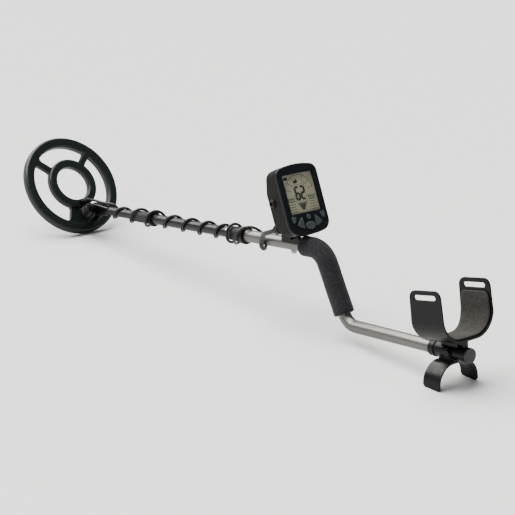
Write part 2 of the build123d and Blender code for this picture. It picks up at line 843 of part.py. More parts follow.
def key_sketch(kind, across, up, hand, grow):
    with Locations((across, up)):
        if kind == "round":
            Circle(4.2 + grow)
        elif kind == "oval":
            Ellipse(10.6 + grow, 6.9 + grow)
        else:
            corners = corner_key if kind == "corner" else arrow_key
            with BuildSketch(mode=Mode.PRIVATE) as cap:
                with BuildLine() as outline:
                    Polyline([(x * hand, y) for x, y in corners], close=True)
                make_face(outline.edges())
                fillet(vertices(), 1.3)
                if grow:
                    offset(amount=grow)
            add(cap.sketch)


with BuildPart() as housing_front:
    with BuildSketch(face.offset(bezel_back)):
        box_sketch(0)
    extrude(amount=bezel_out - bezel_back)
    fillet(housing_front.faces().sort_by(out_axis)[-1].edges(), 2.6)
    with BuildSketch(face.offset(bezel_back)):
        box_sketch(shell_wall)
    extrude(amount=bezel_out - bezel_wall - bezel_back, mode=Mode.SUBTRACT)
    with BuildSketch(face.offset(bezel_back)):
        with Locations(*pillars):
            Circle(pillar_r)
    extrude(amount=bezel_out - bezel_wall - bezel_back + 0.2)
    with BuildSketch(face.offset(bezel_back)):
        with Locations(*pillars):
            Circle(1.4)
    extrude(amount=4.2, mode=Mode.SUBTRACT)
    # display aperture and key holes
    with BuildSketch(face.offset(bezel_out)):
        RectangleRounded(69.0, 69.0, 1.5)
    extrude(amount=-2 * bezel_wall, mode=Mode.SUBTRACT)
    for kind, across, up, hand in keys.values():
        with BuildSketch(face.offset(bezel_out)):
            key_sketch(kind, across, up, hand, 0.3)
        extrude(amount=-2 * bezel_wall, mode=Mode.SUBTRACT)
write(housing_front.part, "housing_front")

with BuildPart() as housing_gasket:
    with BuildSketch(face.offset(shell_front + 0.02)):
        box_sketch(0.8)
    extrude(amount=gasket_thick - 0.04)
    with BuildSketch(face.offset(shell_front)):
        box_sketch(shell_wall - 0.2)
    extrude(amount=gasket_thick, mode=Mode.SUBTRACT)
write(housing_gasket.part, "housing_gasket")

# The room inside the back shell, around the screw pillars
with BuildPart() as box_room:
    with BuildSketch(face.offset(shell_front + 0.1)):
        box_sketch(shell_wall)
    extrude(amount=box_depth)
    with BuildSketch(face_side):
        box_profile(2.2)
    extrude(amount=box_half, both=True, mode=Mode.INTERSECT)
    with BuildSketch(face.offset(shell_front + 0.2)):
        with Locations(*pillars):
            Circle(pillar_r + 0.3)
    extrude(amount=box_depth, mode=Mode.SUBTRACT)

socket_across = -33.0
socket_up = -51.0
boss_back = -35.0
jack_out = -24.0
jack_up = -7.0
jack_plane = Plane(origin=face_point(-box_half, jack_up, jack_out), x_dir=heading(face_lean), z_dir=left)
door_half = 16.5
door_low = -42.0
door_high = 14.0
door_thick = 1.2
speaker_across = 28.0
speaker_up = -18.0
with BuildPart() as housing_back:
    with BuildSketch(face.offset(shell_front)):
        box_sketch(0)
    extrude(amount=box_depth)
    with BuildSketch(face_side):
        box_profile(0)
    extrude(amount=box_half + 1, both=True, mode=Mode.INTERSECT)
    rear_edges = housing_back.edges().filter_by(lambda e: (e.center() - face.origin).dot(face.z_dir) < -12)
    fillet(rear_edges, 4.0)
    # boss for the coil's socket
    with BuildSketch(face_plane(socket_across, socket_up, -22.0)):
        Circle(9.0)
    extrude(amount=boss_back + 22.0)
    add(box_room.part, mode=Mode.SUBTRACT)
    with BuildSketch(face_plane(socket_across, socket_up, -20.0)):
        Circle(6.6)
    extrude(amount=-20.0, mode=Mode.SUBTRACT)
    # headphone jack hole
    with BuildSketch(jack_plane):
        Circle(4.8)
    extrude(amount=8.0, both=True, mode=Mode.SUBTRACT)
    # screw holes from the back
    for across, up in pillars:
        with BuildSketch(face_plane(across, up, shell_front + 1)):
            Circle(1.7)
        extrude(amount=-40.0, mode=Mode.SUBTRACT)
        with BuildSketch(face_plane(across, up, -18.0)):
            Circle(3.2)
        extrude(amount=-20.0, mode=Mode.SUBTRACT)
    # seat and opening of the battery door
    with BuildSketch(face.offset(box_depth + door_thick + 0.1)):
        with Locations((0, (door_low - 0.2 + 22.0) / 2)):
            Rectangle(2 * door_half + 0.4, 22.0 - door_low + 0.2)
    extrude(amount=-6.0, mode=Mode.SUBTRACT)
    with BuildSketch(face.offset(box_depth + 6.0)):
        with Locations((0, -16.3)):
            Rectangle(28.0, 49.4)
    extrude(amount=-12.0, mode=Mode.SUBTRACT)
    # sound slots over the speaker
    with BuildSketch(face.offset(box_depth + 6.0)):
        with Locations((speaker_across, speaker_up)):
            with GridLocations(0, 3.4, 1, 5):
                SlotOverall(15.0, 1.5)
    extrude(amount=-12.0, mode=Mode.SUBTRACT)
write(housing_back.part, "housing_back")

# ---- Inside the control box ----
with BuildPart() as display_window:
    with BuildSketch(face.offset(-1.15)):
        RectangleRounded(70.6, 70.6, 1.5)
    extrude(amount=1.6)
write(display_window.part, "display_window")

with BuildPart() as lcd_module:
    with BuildSketch(face.offset(-5.7)):
        RectangleRounded(70.0, 69.0, 1.0)
    extrude(amount=4.1)
write(lcd_module.part, "lcd_module")

board_back = -7.4
board_thick = 1.6
with BuildPart() as circuit_board:
    with BuildSketch(face.offset(board_back)):
        box_sketch(shell_wall + 0.6)
        with Locations(*pillars):
            Circle(pillar_r + 0.7, mode=Mode.SUBTRACT)
    extrude(amount=board_thick)
write(circuit_board.part, "circuit_board")

with BuildPart() as key_switches:
    with BuildSketch(face.offset(board_back + board_thick + 0.05)):
        for kind, across, up, hand in keys.values():
            with Locations((across, up)):
                Rectangle(5.0, 5.0)
    extrude(amount=3.8)
write(key_switches.part, "key_switches")

key_proud = 2.0
for name, (kind, across, up, hand) in keys.items():
    with BuildPart() as key:
        with BuildSketch(face.offset(-0.7)):
            key_sketch(kind, across, up, hand, 0.8)
        extrude(amount=1.1)
        with BuildSketch(face.offset(0.4)):
            key_sketch(kind, across, up, hand, 0)
        extrude(amount=bezel_out + key_proud - 0.4)
        fillet(key.faces().sort_by(out_axis)[-1].edges(), 0.9)
    write(key.part, name)

with BuildPart() as battery:
    with BuildSketch(face_plane(0, -16.4, -29.6)):
        RectangleRounded(26.2, 48.0, 2.0)
    extrude(amount=17.4)
write(battery.part, "battery")

with BuildPart() as battery_clip:
    with BuildSketch(face_plane(0, 9.6, -27.0)):
        RectangleRounded(25.0, 3.4, 0.8)
    extrude(amount=13.0)
write(battery_clip.part, "battery_clip")

with BuildPart() as battery_door:
    with BuildSketch(face.offset(box_depth + 0.02)):
        with Locations((0, (door_low + door_high) / 2)):
            RectangleRounded(2 * door_half - 0.2, door_high - door_low - 0.2, 1.5)
    extrude(amount=door_thick)
    with BuildSketch(face.offset(box_depth + 0.5)):
        with Locations((0, door_low + 10.0)):
            with GridLocations(0, 2.6, 1, 5):
                SlotOverall(18.0, 1.2)
    extrude(amount=-1.1)
write(battery_door.part, "battery_door")

with BuildPart() as speaker:
    with BuildSketch(face_plane(speaker_across, speaker_up, -30.6)):
        Circle(11.0)
    extrude(amount=3.0)
    with BuildSketch(face_plane(speaker_across, speaker_up, -27.6)):
        Circle(6.5)
    extrude(amount=4.5)
write(speaker.part, "speaker")

jack_bore_r = 3.2
with BuildPart() as headphone_jack:
    with BuildSketch(jack_plane.offset(4.4)):
        Circle(4.7)
    extrude(amount=-7.0)
    with BuildSketch(jack_plane.offset(-2.6)):
        Circle(6.4)
    extrude(amount=-16.0)
    with BuildSketch(jack_plane.offset(4.4)):
        Circle(jack_bore_r)
    extrude(amount=-18.0, mode=Mode.SUBTRACT)
write(headphone_jack.part, "headphone_jack")

with BuildPart() as jack_nut:
    with BuildSketch(jack_plane.offset(0.05)):
        Circle(7.5)
    extrude(amount=3.2)
    fillet(jack_nut.faces().sort_by(Axis.Y).first.edges(), 1.2)
    with BuildSketch(jack_plane):
        Circle(4.75)
    extrude(amount=4.0, mode=Mode.SUBTRACT)
write(jack_nut.part, "jack_nut")

with BuildPart() as housing_screws:
    for across, up in pillars:
        with BuildSketch(face_plane(across, up, -18.1)):
            Circle(2.9)
        extrude(amount=-2.0)
        with BuildSketch(face_plane(across, up, -18.1)):
            Circle(1.35)
        extrude(amount=17.6)
write(housing_screws.part, "housing_screws")

# ---- Coil socket, plug and ring nut, on the back of the box ----
socket_plane = face_plane(socket_across, socket_up, 0)
with BuildPart() as coil_socket:
    with BuildSketch(socket_plane.offset(-18.0)):
        Circle(6.5)
    extrude(amount=-23.0)
    with BuildSketch(socket_plane.offset(boss_back - 0.05)):
        RegularPolygon(7.9, 6)
    extrude(amount=-2.4)
write(coil_socket.part, "coil_socket")

with BuildPart() as cable_plug:
    with BuildSketch(socket_plane.offset(-41.1)):
        Circle(6.2)
    extrude(amount=-2.6)
    with BuildSketch(socket_plane.offset(-43.7)):
        Circle(5.4)
    extrude(amount=-15.0, taper=4)
write(cable_plug.part, "cable_plug")

with BuildPart() as plug_ring_nut:
    with BuildSketch(socket_plane.offset(-38.2)):
        Circle(8.8)
        with PolarLocations(9.5, 16):
            Circle(1.2, mode=Mode.SUBTRACT)
    extrude(amount=-10.0)
    with BuildSketch(socket_plane.offset(-38.2)):
        Circle(6.6)
    extrude(amount=-5.8, mode=Mode.SUBTRACT)
    with BuildSketch(socket_plane.offset(-38.2)):
        Circle(5.5)
    extrude(amount=-12.0, mode=Mode.SUBTRACT)
write(plug_ring_nut.part, "plug_ring_nut")

# ---- Bracket between the box and the stem ----
bracket_half = 12.0
bracket_gap = 0.1
with BuildPart() as mount_bracket:
    with BuildSketch(side.offset(-bracket_half)):
        with BuildLine():
            Polyline(
                (-93.0, 4.0),
                (-93.0, 17.0),
                (-74.0, 41.2),
                (-71.2, 40.6),
                (-43.8, 20.7),
                (-48.2, grip_od / 2 + 1.0),
                (-48.2, 4.0),
                close=True,
            )
        make_face()
    extrude(amount=2 * bracket_half)
    with BuildSketch(section(-120.0)):
        Circle(upper_od / 2 + bracket_gap / 2)
    extrude(amount=80.0, mode=Mode.SUBTRACT)
    with BuildSketch(face.offset(shell_front)):
        box_sketch(-bracket_gap)
    extrude(amount=box_depth - 2, mode=Mode.SUBTRACT)
    # hole and pocket for the bolt and its head
    with BuildSketch(section(bracket_bolt_x, 0, 90)):
        Circle(cross_bolt_r + 0.1)
    extrude(amount=upper_od, mode=Mode.SUBTRACT)
    with BuildSketch(section(bracket_bolt_x, upper_od / 2 + 0.9, 90)):
        Circle(4.6)
    extrude(amount=4.0, mode=Mode.SUBTRACT)
write(mount_bracket.part, "mount_bracket")

with BuildPart() as bracket_bolt:
    with BuildSketch(section(bracket_bolt_x, upper_od / 2 + 1.0, 90)):
        Circle(cross_bolt_r)
    extrude(amount=-upper_od - 6.0)
    with BuildSketch(section(bracket_bolt_x, upper_od / 2 + 1.0, 90)):
        RegularPolygon(4.4, 6)
    extrude(amount=3.4)
write(bracket_bolt.part, "bracket_bolt")

with BuildPart() as bracket_nut:
    with BuildSketch(section(bracket_bolt_x, -upper_od / 2 - 0.05, 90)):
        Circle(5.2)
    extrude(amount=-5.4)
    fillet(bracket_nut.faces().sort_by(Axis.Z).first.edges(), 1.6)
    with BuildSketch(section(bracket_bolt_x, 0, 90)):
        Circle(cross_bolt_r + 0.05)
    extrude(amount=-upper_od / 2 - 5.0, mode=Mode.SUBTRACT)
    with BuildSketch(section(0)):
        Circle(upper_od / 2 + 0.05)
    extrude(amount=-150.0, mode=Mode.SUBTRACT)
write(bracket_nut.part, "bracket_nut")

# ---- Coil cable ----
# It leaves the gland, passes over the stem's eye, winds back along the stem and ends in the plug.
# A winding is described by where its turns cross under the stem, and by what it lies on.
turn_marks = [-595.0, -537.0, -487.0, -437.0, -382.0, -333.0, -286.0, -240.0, -229.0, -150.0]
points_a_turn = 8
winding_radii = [  # distance back, and how far the cable's centre keeps from the stem's axis
    (lower_front, 11.1),
    (-539.0, 11.1),
    (-532.0, 14.3),
    (-486.0, 14.3),
    (-478.0, 17.3),
    (-465.0, 17.3),
    (-452.0, 12.5),
    (-254.0, 12.5),
    (-243.0, 16.5),
    (-216.0, 18.0),
    (-210.0, 19.4),
    (-197.0, 19.4),
    (-184.0, 14.3),
    (-170.0, 15.6),
    (-100.0, 15.6),
]


def winding_radius(x):
    for (x0, r0), (x1, r1) in zip(winding_radii, winding_radii[1:]):
        if x <= x1:
            return r0 + (r1 - r0) * max(0.0, x - x0) / (x1 - x0)
    return winding_radii[-1][1]


def winding_point(turns):
    """Corner of the cable's route after so many turns from the first mark."""
    mark = min(int(turns), len(turn_marks) - 2)
    x = turn_marks[mark] + (turns - mark) * (turn_marks[mark + 1] - turn_marks[mark])
    angle = 360 * (turns - mark)
    reach = winding_radius(x) / cos(180 / points_a_turn)
    return (x, -reach * cos(angle), reach * sin(angle))


lead_points = [
    (gland_x + gland_length * cos(gland_lean), gland_z + gland_length * sin(gland_lean), 0),
    (-667.5, 16.0, 0),
    (-653.0, 16.2, 0.3),
    (-637.0, 14.4, 0.5),
    (-621.0, 13.8, -2.5),
    (-606.5, 11.8, -9.5),
    (-598.0, 1.0, -13.4),
    (-594.5, -8.4, -10.2),
]
turn_count = len(turn_marks) - 1
winding = [winding_point(step / points_a_turn) for step in range(turn_count * points_a_turn)]
boot_points = [
    (-149.0, -18.0, 4.0),
    (-145.5, -10.5, 14.5),
    (-139.0, 2.5, 18.0),
    (-130.0, 12.0, 22.0),
    (-117.5, 18.5, 28.5),
]
plug_run = [face_point(socket_across, socket_up, out) for out in (-71.0, -58.8)]
boot_points += [tuple(side.to_local_coords(place)) for place in plug_run]
route = lead_points + winding + [boot_points[0]]


def halfway(a, b):
    return tuple((p + q) / 2 for p, q in zip(a, b))


def bend_radii(corners):
    """Each corner's arc is as large as its two runs allow."""
    radii = []
    for a, b, c in zip(corners, corners[1:], corners[2:]):
        run_in = Vector(*b) - Vector(*a)
        run_out = Vector(*c) - Vector(*b)
        turn = run_in.get_angle(run_out)
        radii.append(0.45 * min(run_in.length, run_out.length) / math.tan(math.radians(turn / 2)))
    return radii


def cable(name, corners, radius):
    places = [at(*corner) for corner in corners]
    radii = bend_radii(corners)
    with BuildPart() as tube:
        with BuildLine() as path:
            FilletPolyline(places, radius=radii)
        with BuildSketch(Plane(origin=places[0], z_dir=places[1] - places[0])):
            Circle(radius)
        sweep(path=path.wires()[0])
    length = path.wires()[0].length
    print(name, "length", round(length, 1), "smallest bend", round(min(radii), 1))
    fullness = tube.part.volume / (math.pi * radius**2 * length)
    print(name, "volume over section times length", round(fullness, 4))
    write(tube.part, name)


# Where one span ends and the next begins: on the lower stem, and in front of each collar
lead_end = len(lead_points) - 3
lower_end = len(lead_points) + points_a_turn
middle_end = len(lead_points) + 6 * points_a_turn
spans = {
    "cable_coil_lead": (0, lead_end),
    "cable_lower_wrap": (lead_end, lower_end),
    "cable_middle_wrap": (lower_end, middle_end),
    "cable_upper_wrap": (middle_end, len(route) - 2),
}
for name, (first, last) in spans.items():
    corners = [halfway(route[first], route[first + 1])] if first else [route[0]]
    corners += route[first + 1 : last + 1]
    corners.append(halfway(route[last], route[last + 1]))
    cable(name, corners, cable_r)
boot_r = 4.3
cable("cable_boot", [halfway(winding[-1], boot_points[0])] + boot_points, boot_r)
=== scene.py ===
"""Looks of the hand-held metal detector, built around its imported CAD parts.

Lengths are in millimetres until at(), face_point() or cradle_point() turns them into metres in the
frame. As in the CAD, x runs back along the front stem from the bend above the grip, z runs up from
the stem's axis, and "left" is the user's left.
"""

import json
import math
import random

import bmesh
import bpy
import numpy as np
from mathutils import Matrix, Vector, noise


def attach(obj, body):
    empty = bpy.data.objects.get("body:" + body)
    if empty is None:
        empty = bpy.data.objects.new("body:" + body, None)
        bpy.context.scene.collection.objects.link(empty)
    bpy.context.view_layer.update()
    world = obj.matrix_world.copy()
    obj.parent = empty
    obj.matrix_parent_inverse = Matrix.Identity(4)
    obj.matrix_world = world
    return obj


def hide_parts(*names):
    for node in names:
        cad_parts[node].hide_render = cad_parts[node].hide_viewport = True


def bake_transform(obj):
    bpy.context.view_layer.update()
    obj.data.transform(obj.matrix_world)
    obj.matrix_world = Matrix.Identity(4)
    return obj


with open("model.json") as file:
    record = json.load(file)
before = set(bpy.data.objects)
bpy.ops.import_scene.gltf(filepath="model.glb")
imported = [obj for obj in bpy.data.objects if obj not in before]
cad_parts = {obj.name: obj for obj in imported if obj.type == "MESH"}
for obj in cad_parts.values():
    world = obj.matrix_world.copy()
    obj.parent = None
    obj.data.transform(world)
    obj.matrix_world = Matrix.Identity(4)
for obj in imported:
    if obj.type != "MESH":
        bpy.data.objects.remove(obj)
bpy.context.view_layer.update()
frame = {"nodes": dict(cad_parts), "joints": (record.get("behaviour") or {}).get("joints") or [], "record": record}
nodes = frame["nodes"]
joints = {joint["name"]: joint for joint in frame["joints"]}
MM = 0.001

# ---- The stem's frame, from the joints ----
PIVOT_X, PIVOT_Z = -657.0, -1.5
stem_back = -Vector(joints["lower_tube_slide"]["axis"]).normalized()
stem_up = Vector((-stem_back.z, 0, stem_back.x))
left = Vector((0, -1, 0))
stem_pitch = math.atan2(stem_back.z, stem_back.x)
bend = Vector(joints["coil_tilt"]["pos_m"]) - (PIVOT_X * stem_back + PIVOT_Z * stem_up) * MM


def sin(angle):
    return math.sin(math.radians(angle))


def cos(angle):
    return math.cos(math.radians(angle))


def heading(angle):
    """Unit direction in the mid plane, from straight back along the stem towards up."""
    return stem_back * cos(angle) + stem_up * sin(angle)


def at(x, z, to_left=0.0):
    return bend + (stem_back * x + stem_up * z + left * to_left) * MM


# ---- The control box's face ----
FACE_LEAN = 17.6
DISPLAY_X, DISPLAY_Z = -49.1, 92.9
face_out = heading(FACE_LEAN)
face_up = heading(FACE_LEAN + 90)
display_centre = at(DISPLAY_X, DISPLAY_Z)


def face_point(across, up, out):
    """A point from its distance to the user's right, up and out of the display's centre."""
    return display_centre + (face_up * up + face_out * out - left * across) * MM


# ---- The rear tube and the cradle ----
GRIP_SLOPE = 66.5
GRIP_LENGTH = 136.1
REAR_SLOPE = 1.6
CRADLE_FRONT, CRADLE_FLOOR, CRADLE_TILT = 215.0, 17.0, 7.0
rear_bend = at(GRIP_LENGTH * cos(GRIP_SLOPE), -GRIP_LENGTH * sin(GRIP_SLOPE))
rear_back = heading(-REAR_SLOPE)
rear_up = heading(90 - REAR_SLOPE)
cradle_corner = rear_bend + (CRADLE_FRONT * rear_back + CRADLE_FLOOR * rear_up) * MM
cradle_back = heading(CRADLE_TILT - REAR_SLOPE)
cradle_up = heading(CRADLE_TILT - REAR_SLOPE + 90)


def cradle_point(back, to_right, up):
    return cradle_corner + (cradle_back * back - left * to_right + cradle_up * up) * MM


# ---- Materials ----
NOISE_LOW, NOISE_HIGH = 0.3, 0.7  # nearly all of a noise's values lie between these
FACE_MATCH, EDGE_MATCH = 0.995, 0.86  # rounded normal times true one: on faces, on sharp edges
MIX_AMOUNT, MIX_FROM, MIX_TO, MIX_RESULT = 0, 6, 7, 2  # sockets of a node that mixes colours


class Surface:
    """A node material round one Principled shader.

    Texture sizes are in millimetres on the object.
    """

    def __init__(self, name, colour, roughness, metallic=0.0):
        self.material = bpy.data.materials.new(name)
        self.material.use_nodes = True
        self.tree = self.material.node_tree
        self.shader = self.tree.nodes["Principled BSDF"]
        self.set("Base Color", (*colour, 1))
        self.set("Roughness", roughness)
        self.set("Metallic", metallic)
        self.place = self.node("ShaderNodeTexCoord").outputs["Object"]
        self.colour = (*colour, 1)
        self.normal = None

    def set(self, socket, value):
        self.shader.inputs[socket].default_value = value

    def node(self, kind, links=(), **settings):
        made = self.tree.nodes.new(kind)
        for key, value in settings.items():
            setattr(made, key, value)
        for socket, value in dict(links).items():
            if isinstance(value, bpy.types.NodeSocket):
                self.tree.links.new(value, made.inputs[socket])
            else:
                made.inputs[socket].default_value = value
        return made

    def along_stem(self, along, across):
        """Coordinates whose unit is that many millimetres along the stem and across it."""
        size = (along * MM, across * MM, across * MM)
        turned = self.node(
            "ShaderNodeMapping",
            {"Vector": self.place, "Rotation": (0, -stem_pitch, 0), "Scale": size},
            vector_type="TEXTURE",
        )
        return turned.outputs[0]

    def noise(self, size, detail=3.0):
        links = {"Vector": self.place, "Scale": 1 / (size * MM), "Detail": detail}
        return self.node("ShaderNodeTexNoise", links).outputs[0]

    def streaks(self, along, across, detail):
        """Noise drawn out along the stem."""
        links = {"Vector": self.along_stem(along, across), "Scale": 1, "Detail": detail}
        return self.node("ShaderNodeTexNoise", links).outputs[0]

    def cells(self, size, feature="F1"):
        links = {"Vector": self.place, "Scale": 1 / (size * MM)}
        return self.node("ShaderNodeTexVoronoi", links, feature=feature).outputs["Distance"]

    def band(self, value, low, high, start=0.0, end=1.0):
        """Value spread so that low gives start and high gives end."""
        links = {"Value": value, "From Min": low, "From Max": high, "To Min": start, "To Max": end}
        return self.node("ShaderNodeMapRange", links).outputs[0]

    def times(self, a, b):
        return self.node("ShaderNodeMath", {0: a, 1: b}, operation="MULTIPLY").outputs[0]

    def edges(self, radius):
        """1 along sharp edges, fading to 0 on flat faces."""
        rounded = self.node("ShaderNodeBevel", {"Radius": radius * MM}, samples=4).outputs[0]
        flat = self.node("ShaderNodeNewGeometry").outputs["Normal"]
        same = self.node("ShaderNodeVectorMath", {0: rounded, 1: flat}, operation="DOT_PRODUCT")
        return self.band(same.outputs["Value"], FACE_MATCH, EDGE_MATCH)

    def tint(self, amount, colour):
        """Blends the colour so far towards another by an amount from 0 to 1."""
        links = {MIX_AMOUNT: amount, MIX_FROM: self.colour, MIX_TO: (*colour, 1)}
        self.colour = self.node("ShaderNodeMix", links, data_type="RGBA").outputs[MIX_RESULT]
        self.tree.links.new(self.colour, self.shader.inputs["Base Color"])

    def mottle(self, value, low, high, share, colour):
        """Blends in another colour, from none of it at low to this share of it at high."""
        self.tint(self.band(value, low, high, 0, share), colour)

    def roughen(self, value, low, high):
        spread = self.band(value, NOISE_LOW, NOISE_HIGH, low, high)
        self.tree.links.new(spread, self.shader.inputs["Roughness"])

    def bump(self, height, depth):
        """Raises the surface by the height, from 0 to 1, times the depth in millimetres."""
        links = {"Height": height, "Distance": depth * MM}
        if self.normal:
            links["Normal"] = self.normal
        self.normal = self.node("ShaderNodeBump", links).outputs[0]
        self.tree.links.new(self.normal, self.shader.inputs["Normal"])


GLOSS_PATCH = 9.0
WORN_RADIUS, WORN_PATCH, WORN_SHARE = 0.7, 3.0, 0.7


def moulded(name, colour, roughness, grain=0.5, depth=0.03, worn=None, shine=0.22):
    """Moulded plastic: eroded grain, uneven gloss, and corners that handling has rubbed lighter."""
    surface = Surface(name, colour, roughness)
    surface.set("Specular IOR Level", shine)
    surface.roughen(surface.noise(GLOSS_PATCH, 4.0), roughness - 0.07, roughness + 0.09)
    surface.bump(surface.noise(grain, 2.0), depth)
    if worn:
        patches = surface.band(surface.noise(WORN_PATCH, 3.0), 0.3, 0.6)
        rubbed = surface.times(surface.edges(WORN_RADIUS), patches)
        surface.tint(surface.times(rubbed, WORN_SHARE), worn)
    return surface


YOKE_REACH, YOKE_FADE = 30.0, 40.0  # round the pivot, the coil is glossy black out to the first


def coil_plastic():
    colour, worn = (0.0058, 0.0096, 0.0084), (0.0195, 0.0247, 0.0228)
    surface = moulded("coil_plastic", colour, 0.33, 0.45, 0.035, worn)
    links = {0: surface.place, 1: at(PIVOT_X, PIVOT_Z)}
    away = surface.node("ShaderNodeVectorMath", links, operation="DISTANCE").outputs["Value"]
    surface.tint(surface.band(away, YOKE_FADE * MM, YOKE_REACH * MM), (0.0012, 0.0013, 0.0015))
    surface.mottle(surface.streaks(26.0, 0.35, 1.0), 0.7, 0.78, 0.3, (0.0143, 0.0182, 0.0169))
    return surface


def black_gloss():
    worn = (0.0100, 0.0105, 0.0115)
    return moulded("black_gloss", (0.0020, 0.0022, 0.0025), 0.17, 2.5, 0.02, worn)


def drawn_tube(name, colour, roughness, metallic, streak):
    """Tube with the fine lines that drawing and brushing leave along it."""
    surface = Surface(name, colour, roughness, metallic)
    lines = surface.streaks(60.0, 0.28, 3.0)
    surface.mottle(lines, 0.35, 0.75, 0.55, streak)
    surface.roughen(surface.streaks(25.0, 0.5, 2.0), roughness - 0.06, roughness + 0.1)
    surface.bump(lines, 0.012)
    smudge = tuple(0.7 * channel for channel in colour)
    surface.mottle(surface.noise(30.0, 2.0), 0.5, 0.75, 0.12, smudge)
    return surface


def stem_black():
    streak = (0.0105, 0.0115, 0.0140)
    surface = drawn_tube("stem_black", (0.0052, 0.0057, 0.0070), 0.30, 0.0, streak)
    surface.set("Specular IOR Level", 0.2)
    return surface


def bare_aluminium():
    streak = (0.085, 0.084, 0.080)
    return drawn_tube("bare_aluminium", (0.135, 0.132, 0.122), 0.38, 1.0, streak)


def collar_plastic():
    colour, worn = (0.0042, 0.0045, 0.0048), (0.0180, 0.0192, 0.0198)
    surface = moulded("collar_plastic", colour, 0.48, 0.9, 0.09, worn)
    surface.bump(surface.cells(0.6), 0.05)
    return surface


def cable_jacket(name="cable_jacket", colour=(0.0039, 0.0054, 0.0051), roughness=0.42):
    surface = Surface(name, colour, roughness)
    surface.set("Specular IOR Level", 0.3)
    surface.roughen(surface.noise(6.0, 3.0), roughness - 0.08, roughness + 0.12)
    surface.bump(surface.noise(1.4, 3.0), 0.05)
    surface.bump(surface.noise(0.25, 1.0), 0.01)
    surface.mottle(surface.noise(12.0, 4.0), 0.5, 0.7, 0.4, (0.0090, 0.0114, 0.0108))
    return surface


def cable_boot():
    return cable_jacket("cable_boot", (0.0084, 0.0102, 0.0096), 0.5)


def foam():
    """Closed-cell foam sleeve: small open cells in the skin and a soft uneven tone."""
    surface = Surface("foam", (0.0117, 0.0106, 0.0130), 0.93)
    pits = surface.cells(0.85)
    # Painted shade: the colour darkens towards the bottom of each pit that the bump below sinks.
    surface.mottle(pits, 0.55, 0.15, 0.55, (0.0054, 0.0047, 0.0061))
    surface.mottle(surface.noise(3.6, 5.0), 0.46, 0.62, 0.75, (0.0230, 0.0212, 0.0250))
    surface.mottle(surface.noise(2.4, 3.0), 0.5, 0.66, 0.7, (0.0040, 0.0035, 0.0045))
    surface.mottle(surface.noise(28.0, 4.0), 0.5, 0.7, 0.35, (0.0076, 0.0070, 0.0086))
    surface.bump(pits, 0.28)
    surface.bump(surface.noise(2.2, 4.0), 0.25)
    surface.set("Specular IOR Level", 0.15)
    surface.set("Sheen Weight", 0.06)
    surface.set("Sheen Roughness", 0.5)
    return surface


def pad_felt():
    """Needled felt: short matted fibres, mottled by handling, with a lighter band along its rim."""
    surface = Surface("pad_felt", (0.0109, 0.0094, 0.0077), 0.97)
    fibres = surface.noise(0.7, 5.0)
    surface.mottle(fibres, 0.46, 0.64, 0.75, (0.0236, 0.0211, 0.0176))
    surface.mottle(surface.noise(2.8, 4.0), 0.5, 0.62, 0.8, (0.0045, 0.0038, 0.0031))
    surface.mottle(surface.noise(2.1, 2.0), 0.54, 0.66, 0.7, (0.0420, 0.0380, 0.0310))
    surface.mottle(surface.noise(17.0, 4.0), 0.45, 0.68, 0.45, (0.0154, 0.0136, 0.0114))
    border = surface.node("ShaderNodeAttribute", attribute_name="border").outputs["Fac"]
    surface.tint(surface.times(border, 0.6), (0.0286, 0.0268, 0.0238))
    surface.bump(fibres, 0.35)
    surface.bump(surface.noise(3.2, 3.0), 0.4)
    surface.set("Specular IOR Level", 0.15)
    surface.set("Sheen Weight", 0.08)
    surface.set("Sheen Roughness", 0.6)
    return surface


def sleeve_plastic():
    colour, worn = (0.0032, 0.0032, 0.0032), (0.0112, 0.0112, 0.0116)
    surface = moulded("sleeve_plastic", colour, 0.30, 0.5, 0.02, worn, 0.12)
    surface.mottle(surface.streaks(30.0, 1.5, 3.0), 0.5, 0.75, 0.35, (0.0060, 0.0062, 0.0062))
    return surface


def cap_plastic():
    worn = (0.0441, 0.0441, 0.0466)
    return moulded("cap_plastic", (0.0245, 0.0250, 0.0269), 0.42, worn=worn)


def housing_olive():
    colour, worn = (0.0086, 0.0085, 0.0073), (0.0150, 0.0150, 0.0135)
    surface = moulded("housing_olive", colour, 0.46, 0.4, 0.04, worn, 0.06)
    surface.bump(surface.cells(0.55), 0.035)
    return surface


def bezel_navy():
    colour, worn = (0.0038, 0.0049, 0.0068), (0.0205, 0.0247, 0.0293)
    return moulded("bezel_navy", colour, 0.36, 0.6, 0.015, worn, 0.15)


def key_rubber():
    worn = (0.0766, 0.0898, 0.0938)
    return moulded("key_rubber", (0.0347, 0.0438, 0.0469), 0.42, worn=worn)


def gasket_rubber():
    return moulded("gasket_rubber", (0.0036, 0.0036, 0.0036), 0.7, 0.6)


def window_glass():
    """Clear acrylic: seen mostly as a reflection, with a faint haze of wiping marks."""
    surface = Surface("window_glass", (0.02, 0.02, 0.02), 0.06)
    surface.roughen(surface.noise(14.0, 5.0), 0.04, 0.12)
    surface.set("Alpha", 0.07)
    surface.set("Specular IOR Level", 0.8)
    return surface


def lcd():
    """Reflective display: khaki polariser with a faint grain and a slow change of tone."""
    surface = Surface("lcd", (0.292, 0.288, 0.207), 0.5)
    surface.mottle(surface.noise(40.0, 2.0), 0.35, 0.7, 0.4, (0.235, 0.231, 0.164))
    surface.mottle(surface.noise(0.3, 1.0), 0.4, 0.7, 0.15, (0.355, 0.35, 0.257))
    surface.set("Specular IOR Level", 0.1)
    surface.bump(surface.noise(0.4, 1.0), 0.01)
    return surface


def lcd_ink():
    surface = Surface("lcd_ink", (0.0018, 0.0019, 0.0015), 0.7)
    surface.mottle(surface.noise(6.0, 2.0), 0.4, 0.7, 0.3, (0.0040, 0.0043, 0.0032))
    return surface


def lcd_faint_ink():
    surface = Surface("lcd_faint_ink", (0.0150, 0.0150, 0.0110), 0.7)
    surface.mottle(surface.noise(8.0, 2.0), 0.4, 0.7, 0.5, (0.0225, 0.0220, 0.0160))
    return surface


